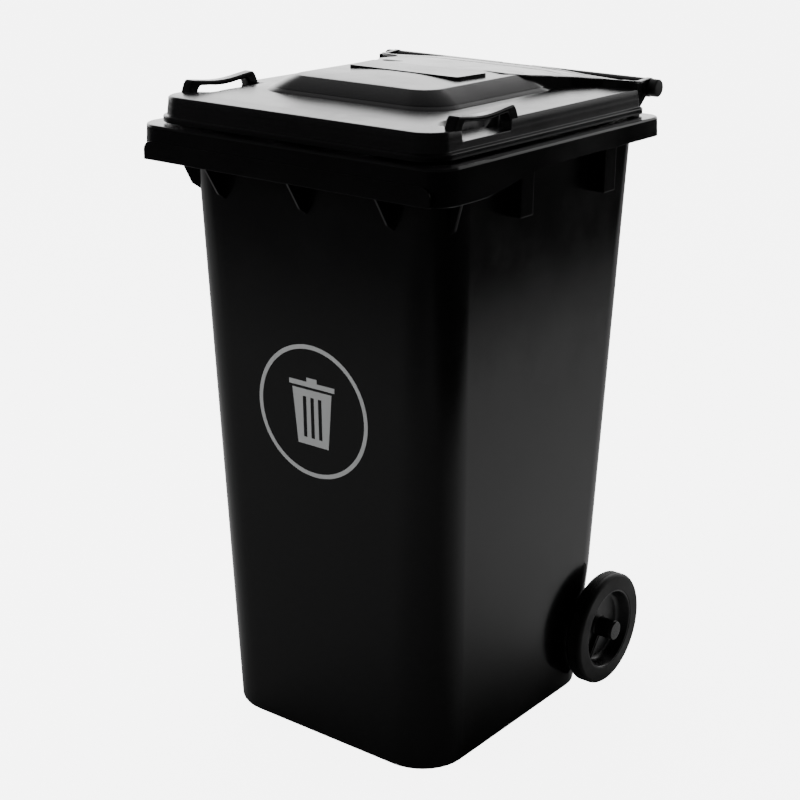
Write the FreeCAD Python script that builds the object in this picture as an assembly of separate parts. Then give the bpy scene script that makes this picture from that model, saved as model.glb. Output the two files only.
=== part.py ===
"""Two-wheeled refuse container (wheelie bin), written out as one STEP file per piece.

Units are millimetres and +Z is up. The front of the bin faces -Y, the hinge and the wheels
are towards +Y, and the origin is the middle of the overall footprint, on the floor.
"""
import FreeCAD, Part
import math
import os

os.makedirs("parts", exist_ok=True)
V = FreeCAD.Vector

# ---- Driving sizes ------------------------------------------------------------------------

overcut = 20.0                # how far a cutting shape runs past what it cuts

# Rim: the widest ring of the body, an upside-down channel round the mouth.
rim_width = 580.0
rim_depth = 600.0
rim_front = -332.0            # y of the rim's front face at its upper edge
rim_top = 1005.0
rim_corner = 42.0             # the two front corners
rim_back_corner = 24.0
rim_wall = 4.0
rim_flare = 1.5               # how far the skirt's lower edge stands out past its upper edge
skirt_front_height = 54.0     # the skirt is deep along the front
skirt_back_height = 31.0      # and shallow along the sides and the back
skirt_rise_start = 90.0       # measured back from the rim's front face
skirt_rise_length = 180.0
band_height = 29.0            # the front skirt is thicker along this lower band
band_proud = 2.0
band_end = 18.0               # the band stops this far short of the rim's sides

# Tub: the tapered container below the rim.
base_width = 448.5
base_depth = 482.7
base_front = -235.4
base_corner = 80.0            # the two front corners
base_back_corner = 62.0
mouth_width = 506.6
mouth_depth = 539.6
mouth_front = -275.2
mouth_corner = 60.0
mouth_back_corner = 42.0
tub_wall = 4.0
tub_floor = 6.0
foot_chamfer = 6.0            # the small bevel round the foot
heel_height = 220.0           # below this height the back wall leans forwards
heel_lean = 18.0

# Gussets and box ribs under the rim.
gusset_spacing = 163.0
gusset_thickness = 4.0
gusset_drop = 102.0           # from the rim's top down to the gusset's tip
gusset_tip = 15.0             # how far the tip stands off the tub's wall
gusset_set_back = 15.0        # the slanting edge leaves the skirt this far behind its face
gusset_lip = 8.0              # the gusset meets the skirt this far above its lower edge
gusset_heel = 10.0            # and the wall this far below the tip
corner_gusset_angle = 30.0    # from the side of the bin round towards its front
rib_width = 33.0
rib_reach = 27.0              # how far a box rib stands out of the tub's side wall
rib_drop = 104.0
rib_front_y = (-116.0, 117.0)  # where the two ribs on each side start

# Hinge line and rear grips.
hinge_behind_rim = 10.0
hinge_above_rim = 40.0
grip_radius = 14.5
hinge_pin_radius = 8.0
outer_post_inset = 54.0       # from the rim's side in to the post's inner face
post_thickness = 12.0
inner_post_x = 30.0
hand_recess_half = 180.0
hand_recess_front = 225.0
hand_recess_drop = 65.0       # from the rim's top down to where its floor starts to slope
hand_recess_slope = 35.0      # run and fall of the sloping floor
inner_post_rise = 15.0        # foot of the inner post above that line
post_foot_depth = 20.0        # how far the outer post's foot reaches in from the rim's back
post_shoulder = 4.0           # the posts meet the grips this far below the hinge line

# Lid.
lid_gap = 3.0                 # between the rim's top and the lid's flange
flange_side_inset = 22.0      # from the rim's edge in to the flange, along the sides
flange_front_inset = 13.0
flange_back_inset = 17.0
flange_corner = 44.0          # the two front corners
flange_back_corner = 14.0
flange_thickness = 10.0
skirt_inset = 6.0             # from the flange's edge in to the lid's upright skirt
lid_skirt_height = 39.0       # from the flange's underside to the edge of the deck
deck_rise = 4.0               # the deck climbs this much on its way to the plateau
plateau_half_width = 178.0
plateau_front = -192.0
plateau_back = 153.0
plateau_corner = 60.0
plateau_height = 24.0
plateau_slope_side = 44.0
plateau_slope_front = 38.0
plateau_slope_back = 32.0
plateau_top_corner = 34.0
plateau_crown = 6.0
crown_run = 72.0              # the crown rises over this length from every edge
lid_draft = 1.5               # the upright skirt leans in by this much
lid_wall = 3.5
lid_recess_inset = 40.0       # the lid stops this far short of the rim's back, before the grips
notch_side = 2.0              # room beside each post
notch_reach = 41.0            # from the hinge line forwards to the notch's end
ear_thickness = 10.0
ear_gap = 2.0                 # between an ear and its post
ear_radius = 15.5
ridge_height = 18.0           # the raised back of the lid, above the hinge line
raised_back_step = 4.0        # its front starts this far below the plateau's top
raised_back_run = 60.0        # and this far in front of the plateau's back
raised_back_gap = 5.0         # between its rear end and the grips
raised_plate_thickness = 14.0  # of the solid part behind the lid's back skirt
raised_lap = 40.0             # it starts this far inside the plateau
raised_foot = 10.0            # and this far above the flange
raised_inset = 26.0           # from the plateau's side in to where it starts to widen
raised_cut_corner = 30.0      # its front corners are cut off by this much
raised_waist_out = 14.0       # it widens slowly at first
raised_waist_run = 64.0
raised_flare_out = 52.0       # and then quickly
raised_flare_run = 125.0
raised_full_run = 160.0       # until it is as wide as the lid
raised_full_bevel = 12.0
lid_ear_clearance = 0.08      # running fit of the ears on the hinge pins
ear_web_front = 45.0          # the web of each ear reaches this far forwards of the hinge line
ear_web_foot = 34.0
ear_web_heel = 12.0
ear_web_heel_drop = 8.0
ear_web_lift = 6.0            # above the flange

# Lid handles, one along each side.
handle_front = -259.0
handle_length = 150.0
handle_leg = 20.0
handle_rise = 18.0            # top of the strap above the edge of the deck
handle_strap = 9.0
handle_width = 19.0
handle_dip = 6.0
handle_root = 16.0            # the legs start this far below the edge of the deck
handle_inset = 2.0            # from the lid's skirt in to the handle's outer face
handle_front_foot = 8.0       # how far the front leg's foot stands out
handle_front_lean = 6.0       # and its top leans in
handle_back_foot = 10.0
handle_back_lean = 4.0
window_shoulder = 2.0
window_spread = 5.0           # the opening is this much longer at its foot, at both ends
pocket_depth = 15.0
pocket_lap = 4.0              # the scoop runs this far under each leg
pocket_behind = 16.0          # and this far in behind the handle
pocket_slope = 12.0
pocket_fall = 3.0
pocket_lip = 6.0

# Hinge pins.
pin_head_radius = 14.2
pin_head_length = 14.5
pin_length = 62.0

# Axle and wheels.
axle_y = 234.0
axle_radius = 10.0
wheel_radius = 100.0
wheel_inner_x = 232.0
wheel_width = 34.0
axle_end_x = 270.0
hub_radius = 17.0
hub_end_x = 274.0
hub_running_fit = 0.08
cap_thickness = 4.0
tyre_inner_radius = 76.0
tyre_shoulder = 11.0          # width of the bevel on the inner side
tread_grooves = 4
tread_groove_pitch = 3.5
tread_groove_width = 1.4
tread_groove_depth = 1.0
dish_mouth_radius = 68.0
dish_floor_radius = 60.0
web_back_x = 240.0
web_thickness = 4.0
disc_rib_angle = 232.0        # from straight back, turning upwards
disc_rib_height = 7.0
disc_rib_thickness = 2.0
disc_rib_spacing = 6.0
washer_thickness = 2.0
washer_radius = 18.0
washer_side_gap = 0.5
tunnel_radius = 16.0
axle_recess_half = 140.0
axle_recess_front = 198.0
axle_recess_top = 165.0
axle_recess_cut = 30.0        # the slanting corner between its top and its front
axle_rib_x = 60.0
axle_rib_thickness = 6.0
axle_rib_foot = 55.0
axle_rib_reach = 16.0         # behind the axle's centre

# Wheel lock: a sprung pin in the hub that drops into a groove round the axle.
lock_x = 236.5
lock_pin_radius = 2.5
lock_fit = 0.06
lock_groove_depth = 2.5
lock_groove_side_gap = 0.5
lock_tip_gap = 0.3
lock_chamber_radius = 3.6
lock_chamber_start = 16.0
lock_flange_thickness = 1.8
lock_stem_radius = 1.6
lock_stem_length = 4.0
lock_plug_start = 30.0
lock_plug_length = 4.5
lock_tower_radius = 5.6
spring_wire_radius = 0.4
spring_turns = 6

# Printed mark on the front: a ring round a plain lidded bin.
print_thickness = 0.4
print_centre_z = 580.0
print_ring_radius = 109.0
print_line = 7.0
print_bin_height = 0.84       # the bin's sizes, as shares of the ring's radius
print_bin_low = 0.515
print_bin_top = 0.36
print_bin_foot = 0.28
print_slot_spacing = 0.14
print_slot_width = 7.0
print_slot_margin = 12.0
print_lid_gap = 4.5
print_lid_height = 8.0
print_lid_overhang = 6.0
print_knob_height = 7.0

# ---- Values worked out from the driving sizes -----------------------------------------------

rim_back = rim_front + rim_depth
rim_half = rim_width / 2
hinge_y = rim_back + hinge_behind_rim
hinge_z = rim_top + hinge_above_rim
flange_half_width = rim_half - flange_side_inset
flange_front = rim_front + flange_front_inset
flange_back = rim_back - flange_back_inset
lid_recess_back = rim_back - lid_recess_inset
skirt_front_z = rim_top - skirt_front_height
skirt_back_z = rim_top - skirt_back_height
flange_z = rim_top + lid_gap
deck_edge_z = flange_z + lid_skirt_height
plateau_foot_z = deck_edge_z + deck_rise
plateau_top_z = plateau_foot_z + plateau_height
ridge_z = hinge_z + ridge_height
outer_post_x = rim_half - outer_post_inset
post_outer_x = outer_post_x + post_thickness
post_half_depth = math.sqrt(grip_radius ** 2 - post_shoulder ** 2)
ear_x = post_outer_x + ear_gap
ear_outer_x = ear_x + ear_thickness
wheel_outer_x = wheel_inner_x + wheel_width


# ---- Helpers ----------------------------------------------------------------------------------

def slab(x0, x1, y0, y1, z0, z1):
    return Part.makeBox(x1 - x0, y1 - y0, z1 - z0, V(x0, y0, z0))


def rod(radius, x0, x1, y, z):
    """A cylinder along X, between two x values."""
    return Part.makeCylinder(radius, x1 - x0, V(x0, y, z), V(1, 0, 0))


def outline(half_width, front, back, corner, z, back_corner=None):
    """A rectangle with round corners in a level plane, centred on x = 0."""
    edges = []
    rear = corner if back_corner is None else back_corner
    corners = [(half_width, front, -90, corner), (half_width, back, 0, rear),
               (-half_width, back, 90, rear), (-half_width, front, 180, corner)]
    previous = None
    first = None
    for x, y, start, radius in corners:
        cx = x - math.copysign(radius, x)
        cy = y + (radius if y == front else -radius)
        arc = Part.makeCircle(radius, V(cx, cy, z), V(0, 0, 1), start, start + 90)
        begin = arc.valueAt(arc.FirstParameter)
        if previous is None:
            first = begin
        else:
            edges.append(Part.makeLine(previous, begin))
        edges.append(arc)
        previous = arc.valueAt(arc.LastParameter)
    edges.append(Part.makeLine(previous, first))
    return Part.Wire(edges)


def stack(sections):
    """A solid through level outlines, straight between one and the next."""
    solid = Part.makeLoft([outline(*section) for section in sections], True, True)
    if solid.Volume < 0:
        solid.reverse()
    return solid


def plate_yz(points, x0, x1):
    """A flat plate from x0 to x1, with its outline given as (y, z) points."""
    loop = [V(x0, y, z) for y, z in points]
    face = Part.Face(Part.makePolygon(loop + loop[:1]))
    return face.extrude(V(x1 - x0, 0, 0))


def plate_xy(points, z0, z1):
    loop = [V(x, y, z0) for x, y in points]
    face = Part.Face(Part.makePolygon(loop + loop[:1]))
    return face.extrude(V(0, 0, z1 - z0))


def turned(points, x_sign=1):
    """A solid turned about the axle from (x, radius) points; x_sign -1 makes the left one."""
    loop = [V(x, axle_y, wheel_radius + r) for x, r in points]
    face = Part.Face(Part.makePolygon(loop + loop[:1]))
    solid = face.revolve(V(0, axle_y, wheel_radius), V(1, 0, 0), 360)
    if solid.Volume < 0:
        solid.reverse()
    if x_sign < 0:
        solid = mirrored(solid)
    return solid


def mirrored(shape):
    return shape.mirror(V(0, 0, 0), V(1, 0, 0))


def both_sides(shape):
    return [shape, mirrored(shape)]


def save(shape, name):
    """Write a piece, which has to be a valid solid or a group of them."""
    if not shape.isValid() or not shape.Solids:
        raise RuntimeError(name + " is not a valid solid")
    if len(shape.Solids) == 1:
        shape = shape.Solids[0]
    shape.exportStep("parts/" + name + ".step")
    box = shape.BoundBox
    print(name, len(shape.Solids), "solid(s)", round(shape.Volume / 1000, 1), "cm3",
          [round(v, 1) for v in (box.XMin, box.XMax, box.YMin, box.YMax, box.ZMin, box.ZMax)])


# ---- Body ---------------------------------------------------------------------------------------

def tub_at(z, inset=0.0):
    """The tub's outline at a height, moved in by an inset."""
    t = z / rim_top
    half = (base_width + (mouth_width - base_width) * t) / 2
    front = base_front + (mouth_front - base_front) * t
    back_at_base = base_front + base_depth
    back_at_mouth = mouth_front + mouth_depth
    back = back_at_base + (back_at_mouth - back_at_base) * t
    lean = heel_lean * max(0.0, 1 - z / heel_height)
    corner = base_corner + (mouth_corner - base_corner) * t
    back_corner = base_back_corner + (mouth_back_corner - base_back_corner) * t
    return (half - inset, front + inset, back - lean - inset, corner - inset, z,
            back_corner - inset)


def tub_front_y(z):
    return tub_at(z)[1]


def tub_solid(inset, z_low, z_high, bevel):
    """The tub filled in, from one height to another, with a bevel round its foot."""
    sections = [tub_at(z_low, inset + bevel)]
    heights = [z_low + bevel, heel_height, rim_top] if bevel else [heel_height, rim_top]
    for z in heights:
        sections.append(tub_at(z, inset))
    solid = stack(sections)
    if z_high > rim_top:
        half, front, back, corner, z, back_corner = tub_at(rim_top, inset)
        solid = solid.fuse(stack([(half, front, back, corner, rim_top, back_corner),
                                  (half, front, back, corner, z_high, back_corner)]))
    return solid


def axle_recess(grow):
    """The space across the back of the foot where the axle lies bare."""
    half = axle_recess_half + grow
    front = axle_recess_front - grow
    top = axle_recess_top + grow
    far = rim_back + 2 * overcut
    return plate_yz([(front, -1), (far, -1), (far, top), (front + axle_recess_cut, top),
                     (front, top - axle_recess_cut)], -half, half)


def hand_recess(grow, top):
    """The space behind the mouth that leaves room for a hand on each grip."""
    half = hand_recess_half + grow
    front = hand_recess_front - grow
    low = rim_top - hand_recess_drop
    far = rim_back + 2 * overcut
    foot = low - hand_recess_slope
    return plate_yz([(front, low - grow), (front + hand_recess_slope, foot - grow), (far, foot - grow),
                     (far, top), (front, top)], -half, half)


def rim_solid(inset, top_z):
    """The rim filled in, with the lower edge that climbs along each side."""
    low = skirt_front_z - overcut
    spread = rim_flare * (top_z - low) / skirt_front_height
    return stack([(rim_half + spread - inset, rim_front - spread + inset,
                   rim_back + spread - inset, rim_corner - inset, low, rim_back_corner - inset),
                  (rim_half - inset, rim_front + inset, rim_back - inset,
                   rim_corner - inset, top_z, rim_back_corner - inset)])


def skirt_profile():
    """Everything above the skirt's lower edge, as a prism across the bin."""
    near = rim_front - 2 * overcut
    far = rim_back + 2 * overcut
    start = rim_front + skirt_rise_start
    end = start + skirt_rise_length
    curve = Part.BezierCurve()
    curve.setPoles([V(0, start, skirt_front_z), V(0, start + skirt_rise_length * 0.45, skirt_front_z),
                    V(0, end - skirt_rise_length * 0.4, skirt_back_z), V(0, end, skirt_back_z)])
    corners = [V(0, end, skirt_back_z), V(0, far, skirt_back_z), V(0, far, rim_top + 1),
               V(0, near, rim_top + 1), V(0, near, skirt_front_z), V(0, start, skirt_front_z)]
    edges = [curve.toShape()]
    for a, b in zip(corners, corners[1:]):
        edges.append(Part.makeLine(a, b))
    face = Part.Face(Part.Wire(edges))
    half = rim_half + overcut
    return face.extrude(V(2 * half, 0, 0)).translated(V(-half, 0, 0))


def front_band():
    """The thicker lower band across the front of the skirt, with rounded upper ends."""
    half = rim_half - band_end
    top = skirt_front_z + band_height
    radius = band_height / 2
    band = slab(-half, half, rim_front - band_proud, rim_front + rim_wall / 2, skirt_front_z, top)
    corners = [e for e in band.Edges
               if abs(e.BoundBox.XLength) < 1e-6 and abs(e.BoundBox.ZLength) < 1e-6
               and e.BoundBox.ZMin > top - 1]
    return band.makeFillet(radius, corners)


def front_gusset(x):
    """A thin bracket in line with the bin's length, from the skirt back to the tub."""
    tip_z = rim_top - gusset_drop
    wall_y = tub_front_y(tip_z) + tub_wall / 2
    top = rim_top - rim_wall / 2
    out = rim_front + rim_wall / 2
    points = [(out, top), (out, skirt_front_z + gusset_lip),
              (rim_front + gusset_set_back, skirt_front_z),
              (tub_front_y(tip_z) - gusset_tip, tip_z), (wall_y, tip_z - gusset_heel), (wall_y, top)]
    return plate_yz(points, x - gusset_thickness / 2, x + gusset_thickness / 2)


def corner_gusset():
    """The bracket in a front corner, set at an angle."""
    tip_z = rim_top - gusset_drop
    half, front, back, corner = tub_at(tip_z)[:4]
    cx = half - corner
    cy = front + corner
    angle = math.radians(corner_gusset_angle)
    reach = (rim_half - rim_wall / 2 - cx) / math.cos(angle)
    start = corner - tub_wall / 2
    top = rim_top - rim_wall / 2
    points = [(start, top), (reach, top), (reach, skirt_front_z + gusset_lip),
              (reach - gusset_set_back, skirt_front_z), (corner + gusset_tip, tip_z),
              (start, tip_z - gusset_heel)]
    loop = [V(r, -gusset_thickness / 2, h) for r, h in points]
    plate = Part.Face(Part.makePolygon(loop + loop[:1])).extrude(V(0, gusset_thickness, 0))
    plate.rotate(V(0, 0, 0), V(0, 0, 1), -corner_gusset_angle)
    return plate.translated(V(cx, cy, 0))


def box_rib(y):
    """A hollow box under the rim on the right-hand side."""
    low = rim_top - rib_drop
    inner = tub_at(low)[0] - tub_wall / 2
    outer = tub_at(low)[0] + rib_reach
    top = rim_top - rim_wall / 2
    shell = slab(inner, outer, y, y + rib_width, low, top)
    hollow = slab(inner + tub_wall, outer - tub_wall, y + tub_wall, y + rib_width - tub_wall,
                  low - 1, top - rim_wall)
    return shell, hollow


def outer_post():
    """The leaning post on the rim that carries the outer end of a grip."""
    foot_z = rim_top - rim_wall / 2
    shoulder_z = hinge_z - post_shoulder
    points = [(rim_back - post_foot_depth, foot_z), (rim_back, foot_z),
              (hinge_y + post_half_depth, shoulder_z), (hinge_y, hinge_z),
              (hinge_y - post_half_depth, shoulder_z)]
    post = plate_yz(points, outer_post_x, post_outer_x)
    return post.fuse(rod(grip_radius, outer_post_x, post_outer_x, hinge_y, hinge_z))


def inner_post():
    """The bracket in the hand recess that carries the inner end of a grip."""
    low = rim_top - hand_recess_drop
    wall_y = hand_recess_front - tub_wall / 2
    shoulder_z = hinge_z - post_shoulder
    points = [(wall_y, low + inner_post_rise), (wall_y, rim_top - rim_wall),
              (hinge_y - post_half_depth, shoulder_z), (hinge_y, hinge_z),
              (hinge_y + post_half_depth, shoulder_z)]
    post = plate_yz(points, inner_post_x, inner_post_x + post_thickness)
    return post.fuse(rod(grip_radius, inner_post_x, inner_post_x + post_thickness,
                         hinge_y, hinge_z))


def make_body():
    outer = tub_solid(0.0, 0.0, rim_top, foot_chamfer)
    profile = skirt_profile()
    rim = rim_solid(0.0, rim_top).common(profile)
    channel = rim_solid(rim_wall, rim_top - rim_wall)
    rim = rim.cut(channel.cut(tub_solid(-0.01, 0.0, rim_top, 0.0)))
    body = outer.fuse(rim).fuse(front_band())

    extras = []
    for x in (-gusset_spacing, 0.0, gusset_spacing):
        extras.append(front_gusset(x))
    extras += both_sides(corner_gusset())
    hollows = []
    for y in rib_front_y:
        shell, hollow = box_rib(y)
        extras += both_sides(shell)
        hollows += both_sides(hollow)
    body = body.multiFuse(extras)
    for hollow in hollows:
        body = body.cut(hollow)

    body = body.cut(axle_recess(0.0)).cut(hand_recess(0.0, rim_top + 5))
    cavity = tub_solid(tub_wall, tub_floor, rim_top + 5, 0.0)
    cavity = cavity.cut(axle_recess(tub_wall)).cut(hand_recess(tub_wall, rim_top + 10))
    body = body.cut(cavity)

    tunnel_end = wheel_inner_x - washer_side_gap - washer_thickness - washer_side_gap
    axle_parts = both_sides(rod(tunnel_radius, axle_recess_half - tub_wall / 2, tunnel_end,
                                axle_y, wheel_radius))
    rib_front = axle_recess_front - tub_wall / 2
    rib_top = axle_recess_top + tub_wall / 2
    rib = plate_yz([(rib_front, axle_rib_foot), (axle_y + axle_rib_reach, wheel_radius),
                    (axle_y + axle_rib_reach / 2, rib_top), (rib_front, rib_top)],
                   axle_rib_x, axle_rib_x + axle_rib_thickness)
    axle_parts += both_sides(rib)
    grips = [outer_post(), inner_post(),
             rod(grip_radius, inner_post_x, outer_post_x, hinge_y, hinge_z)]
    for piece in grips:
        axle_parts += both_sides(piece)
    body = body.multiFuse(axle_parts)
    body = body.cut(rod(axle_radius, -rim_half, rim_half, axle_y, wheel_radius))
    pin_hole_end = ear_outer_x - pin_length - 2.0
    for hole in both_sides(rod(hinge_pin_radius, pin_hole_end, rim_half, hinge_y, hinge_z)):
        body = body.cut(hole)
    return body.removeSplitter()


# ---- Lid ----------------------------------------------------------------------------------------

def lid_solid(inset):
    """The lid filled in: skirt, sloping deck, plateau and crown, shrunk by a wall thickness."""
    half = flange_half_width - skirt_inset - inset
    front = flange_front + skirt_inset + inset
    back = flange_back - skirt_inset - inset
    corner = flange_corner - skirt_inset - inset / 2
    rear = flange_back_corner - skirt_inset - inset / 2
    low = flange_z - (overcut if inset else 0)
    top_half = plateau_half_width - plateau_slope_side
    sections = [
        (half, front, back, corner, low, rear),
        (half - lid_draft, front + lid_draft, back - lid_draft, corner, deck_edge_z - inset, rear),
        (plateau_half_width - inset, plateau_front + inset, plateau_back - inset,
         plateau_corner, plateau_foot_z - inset),
        (top_half - inset, plateau_front + plateau_slope_front + inset,
         plateau_back - plateau_slope_back - inset, plateau_top_corner, plateau_top_z - inset),
        (top_half - crown_run, plateau_front + plateau_slope_front + crown_run,
         plateau_back - plateau_slope_back - crown_run, plateau_top_corner,
         plateau_top_z + plateau_crown - inset),
    ]
    return stack(sections)


def raised_back(inset):
    """The part of the lid that climbs from behind the plateau out to the hinge ears."""
    half = flange_half_width - skirt_inset - lid_draft - inset
    front_z = plateau_top_z - raised_back_step - inset
    back_y = hinge_y - grip_radius - raised_back_gap - inset
    start = plateau_back - raised_back_run
    foot_z = flange_z + raised_foot
    side = plate_yz([(start - raised_lap, foot_z), (start - raised_lap, front_z),
                     (start, front_z), (back_y, ridge_z - inset), (back_y, foot_z)], -half, half)
    rise_half = plateau_half_width - raised_inset - inset
    plan = [(rise_half - raised_cut_corner, start - raised_cut_corner), (rise_half, start),
            (rise_half + raised_waist_out, start + raised_waist_run),
            (rise_half + raised_flare_out, start + raised_flare_run),
            (half - raised_full_bevel, start + raised_full_run - raised_full_bevel),
            (half, start + raised_full_run), (half, back_y)]
    other = [(-x, y) for x, y in reversed(plan)]
    return side.common(plate_xy(plan + other, flange_z, ridge_z + 3 * overcut))


def lid_handle():
    """The right-hand strap handle: two legs and a dipped strap."""
    base = deck_edge_z - handle_root
    top = deck_edge_z + handle_rise
    front = handle_front
    back = handle_front + handle_length
    middle = (front + back) / 2
    outer_x = flange_half_width - skirt_inset - handle_inset
    arch = plate_yz([(front - handle_front_foot, base), (front + handle_front_lean, top),
                     (front + handle_leg, top - 1), (middle, top - handle_dip),
                     (back - handle_leg, top - 1), (back - handle_back_lean, top),
                     (back + handle_back_foot, base)], outer_x - handle_width, outer_x)
    shoulder_z = top - handle_strap - window_shoulder
    window = plate_yz([(front + handle_leg - window_spread, base - 1),
                       (front + handle_leg, shoulder_z),
                       (middle, top - handle_dip - handle_strap),
                       (back - handle_leg, shoulder_z),
                       (back - handle_leg + window_spread, base - 1)],
                      outer_x - handle_width - 1, outer_x + 1)
    return arch.cut(window)


def finger_pocket(grow):
    """The scoop under the right-hand strap, open upwards and to the side."""
    front = handle_front + handle_leg - pocket_lap - grow
    back = handle_front + handle_length - handle_leg + pocket_lap + grow
    outer_x = flange_half_width + overcut
    inner_x = flange_half_width - skirt_inset - handle_width - pocket_behind - grow
    floor_z = deck_edge_z - pocket_depth - grow
    high = deck_edge_z + 3 * overcut
    loop = [V(inner_x, front, deck_edge_z + pocket_lip),
            V(inner_x + pocket_slope, front, floor_z + pocket_fall),
            V(outer_x, front, floor_z - pocket_fall), V(outer_x, front, high),
            V(inner_x, front, high)]
    return Part.Face(Part.makePolygon(loop + loop[:1])).extrude(V(0, back - front, 0))


def make_lid():
    flange = stack([(flange_half_width, flange_front, flange_back, flange_corner, z,
                     flange_back_corner) for z in (flange_z, flange_z + flange_thickness)])
    lid = flange.fuse(lid_solid(0.0)).fuse(raised_back(0.0))
    for pocket in both_sides(finger_pocket(0.0)):
        lid = lid.cut(pocket)

    hollow = lid_solid(lid_wall).fuse(raised_back(lid_wall))
    for pocket in both_sides(finger_pocket(lid_wall)):
        hollow = hollow.cut(pocket)
    # The back wall of the lid stands just in front of the hand recess.
    recess_half = outer_post_x - notch_side
    back_wall = slab(-recess_half - lid_wall, recess_half + lid_wall,
                     lid_recess_back - lid_wall, flange_back + 3 * overcut,
                     flange_z - overcut, ridge_z + 3 * overcut)
    hollow = hollow.cut(back_wall)
    # Behind the upright back skirt the raised part is a solid plate.
    behind = slab(-flange_half_width, flange_half_width, flange_back - skirt_inset - lid_wall,
                  hinge_y + 2 * overcut, flange_z - overcut, ridge_z + 3 * overcut)
    hollow = hollow.cut(behind)
    lid = lid.cut(hollow)
    plate_under = slab(-flange_half_width, flange_half_width, flange_back, hinge_y + 2 * overcut,
                       flange_z - overcut, ridge_z - raised_plate_thickness)
    lid = lid.cut(plate_under)
    lid = lid.cut(slab(-recess_half, recess_half, lid_recess_back, hinge_y + 2 * overcut,
                       flange_z - overcut, ridge_z + 3 * overcut))

    # Notches that let the posts pass when the lid is thrown back.
    notch = slab(recess_half, ear_x, hinge_y - notch_reach, hinge_y + 2 * overcut,
                 flange_z - overcut, ridge_z + 3 * overcut)
    for piece in both_sides(notch):
        lid = lid.cut(piece)

    ear = rod(ear_radius, ear_x, ear_outer_x, hinge_y, hinge_z)
    foot_z = flange_z + ear_web_lift
    web = plate_yz([(hinge_y - ear_web_front, ridge_z - 2), (hinge_y, hinge_z + ear_radius),
                    (hinge_y, hinge_z), (hinge_y - ear_web_heel, hinge_z - ear_web_heel_drop),
                    (hinge_y - ear_web_foot, foot_z), (hinge_y - ear_web_front, foot_z)],
                   ear_x, ear_outer_x)
    ear = ear.fuse(web)
    parts = both_sides(ear) + both_sides(lid_handle())
    lid = lid.multiFuse(parts)
    hole_radius = hinge_pin_radius + lid_ear_clearance
    for hole in both_sides(rod(hole_radius, ear_x - 5, ear_outer_x + 5, hinge_y, hinge_z)):
        lid = lid.cut(hole)
    return lid.removeSplitter()


# ---- Hinge pins -----------------------------------------------------------------------------------

def make_hinge_pin():
    """The right-hand pin: a round head outside the ear and a shank into the grip."""
    head_start = ear_outer_x + 0.5
    head = rod(pin_head_radius, head_start, head_start + pin_head_length, hinge_y, hinge_z)
    rim_edges = [e for e in head.Edges if abs(e.BoundBox.XMin - head_start - pin_head_length) < 0.01
                 and abs(e.BoundBox.XMax - head_start - pin_head_length) < 0.01]
    head = head.makeFillet(2.5, rim_edges)
    shank = rod(hinge_pin_radius, ear_outer_x - pin_length, head_start + 1, hinge_y, hinge_z)
    tip_edges = [e for e in shank.Edges if abs(e.BoundBox.XMax - (ear_outer_x - pin_length)) < 0.01]
    shank = shank.makeChamfer(1.5, tip_edges)
    return head.fuse(shank).removeSplitter()


# ---- Axle and wheels ------------------------------------------------------------------------------

def make_axle():
    axle = rod(axle_radius, -axle_end_x, axle_end_x, axle_y, wheel_radius)
    ends = [e for e in axle.Edges if abs(abs(e.CenterOfMass.x) - axle_end_x) < 0.01]
    axle = axle.makeChamfer(1.5, ends)
    groove_half = lock_pin_radius + lock_groove_side_gap
    ring = rod(axle_radius + 1, lock_x - groove_half, lock_x + groove_half, axle_y, wheel_radius)
    core = rod(axle_radius - lock_groove_depth, lock_x - groove_half - 1, lock_x + groove_half + 1,
               axle_y, wheel_radius)
    groove = ring.cut(core)
    for piece in both_sides(groove):
        axle = axle.cut(piece)
    return axle


def upright(radius, low, high, x=None):
    """A cylinder standing up from the axle's centre, between two distances from it."""
    at = lock_x if x is None else x
    return Part.makeCylinder(radius, high - low, V(at, axle_y, wheel_radius + low), V(0, 0, 1))


def make_disc():
    """The right-hand wheel disc: hub, web and rim in one moulding, with the lock's tower."""
    bore = axle_radius + hub_running_fit
    inner = wheel_inner_x
    web_front = web_back_x + web_thickness
    disc = turned([(inner, bore), (inner, hub_radius), (web_back_x, hub_radius),
                   (web_back_x, dish_floor_radius), (inner + 2, tyre_inner_radius - 6),
                   (inner + 2, tyre_inner_radius), (wheel_outer_x - 1, tyre_inner_radius),
                   (wheel_outer_x - 1, dish_mouth_radius + 1), (wheel_outer_x - 2, dish_mouth_radius),
                   (web_front, dish_floor_radius), (web_front, hub_radius),
                   (hub_end_x, hub_radius), (hub_end_x, bore)])
    for side in (-disc_rib_spacing / 2, disc_rib_spacing / 2):
        rib = slab(web_front - 1, web_front + disc_rib_height, side - disc_rib_thickness / 2,
                   side + disc_rib_thickness / 2, hub_radius - 1, dish_floor_radius + 2)
        rib.rotate(V(0, 0, 0), V(1, 0, 0), disc_rib_angle - 90)
        disc = disc.fuse(rib.translated(V(0, axle_y, wheel_radius)))
    tower = upright(lock_tower_radius, hub_radius - 2, lock_plug_start + lock_plug_length)
    tower = tower.common(slab(inner, web_front - 1, axle_y - 20, axle_y + 20, 0, 400))
    disc = disc.fuse(tower)
    disc = disc.cut(upright(lock_pin_radius + lock_fit, 2, lock_chamber_start + 1))
    disc = disc.cut(upright(lock_chamber_radius, lock_chamber_start,
                            lock_plug_start + lock_plug_length + 1))
    return disc.removeSplitter()


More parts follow.
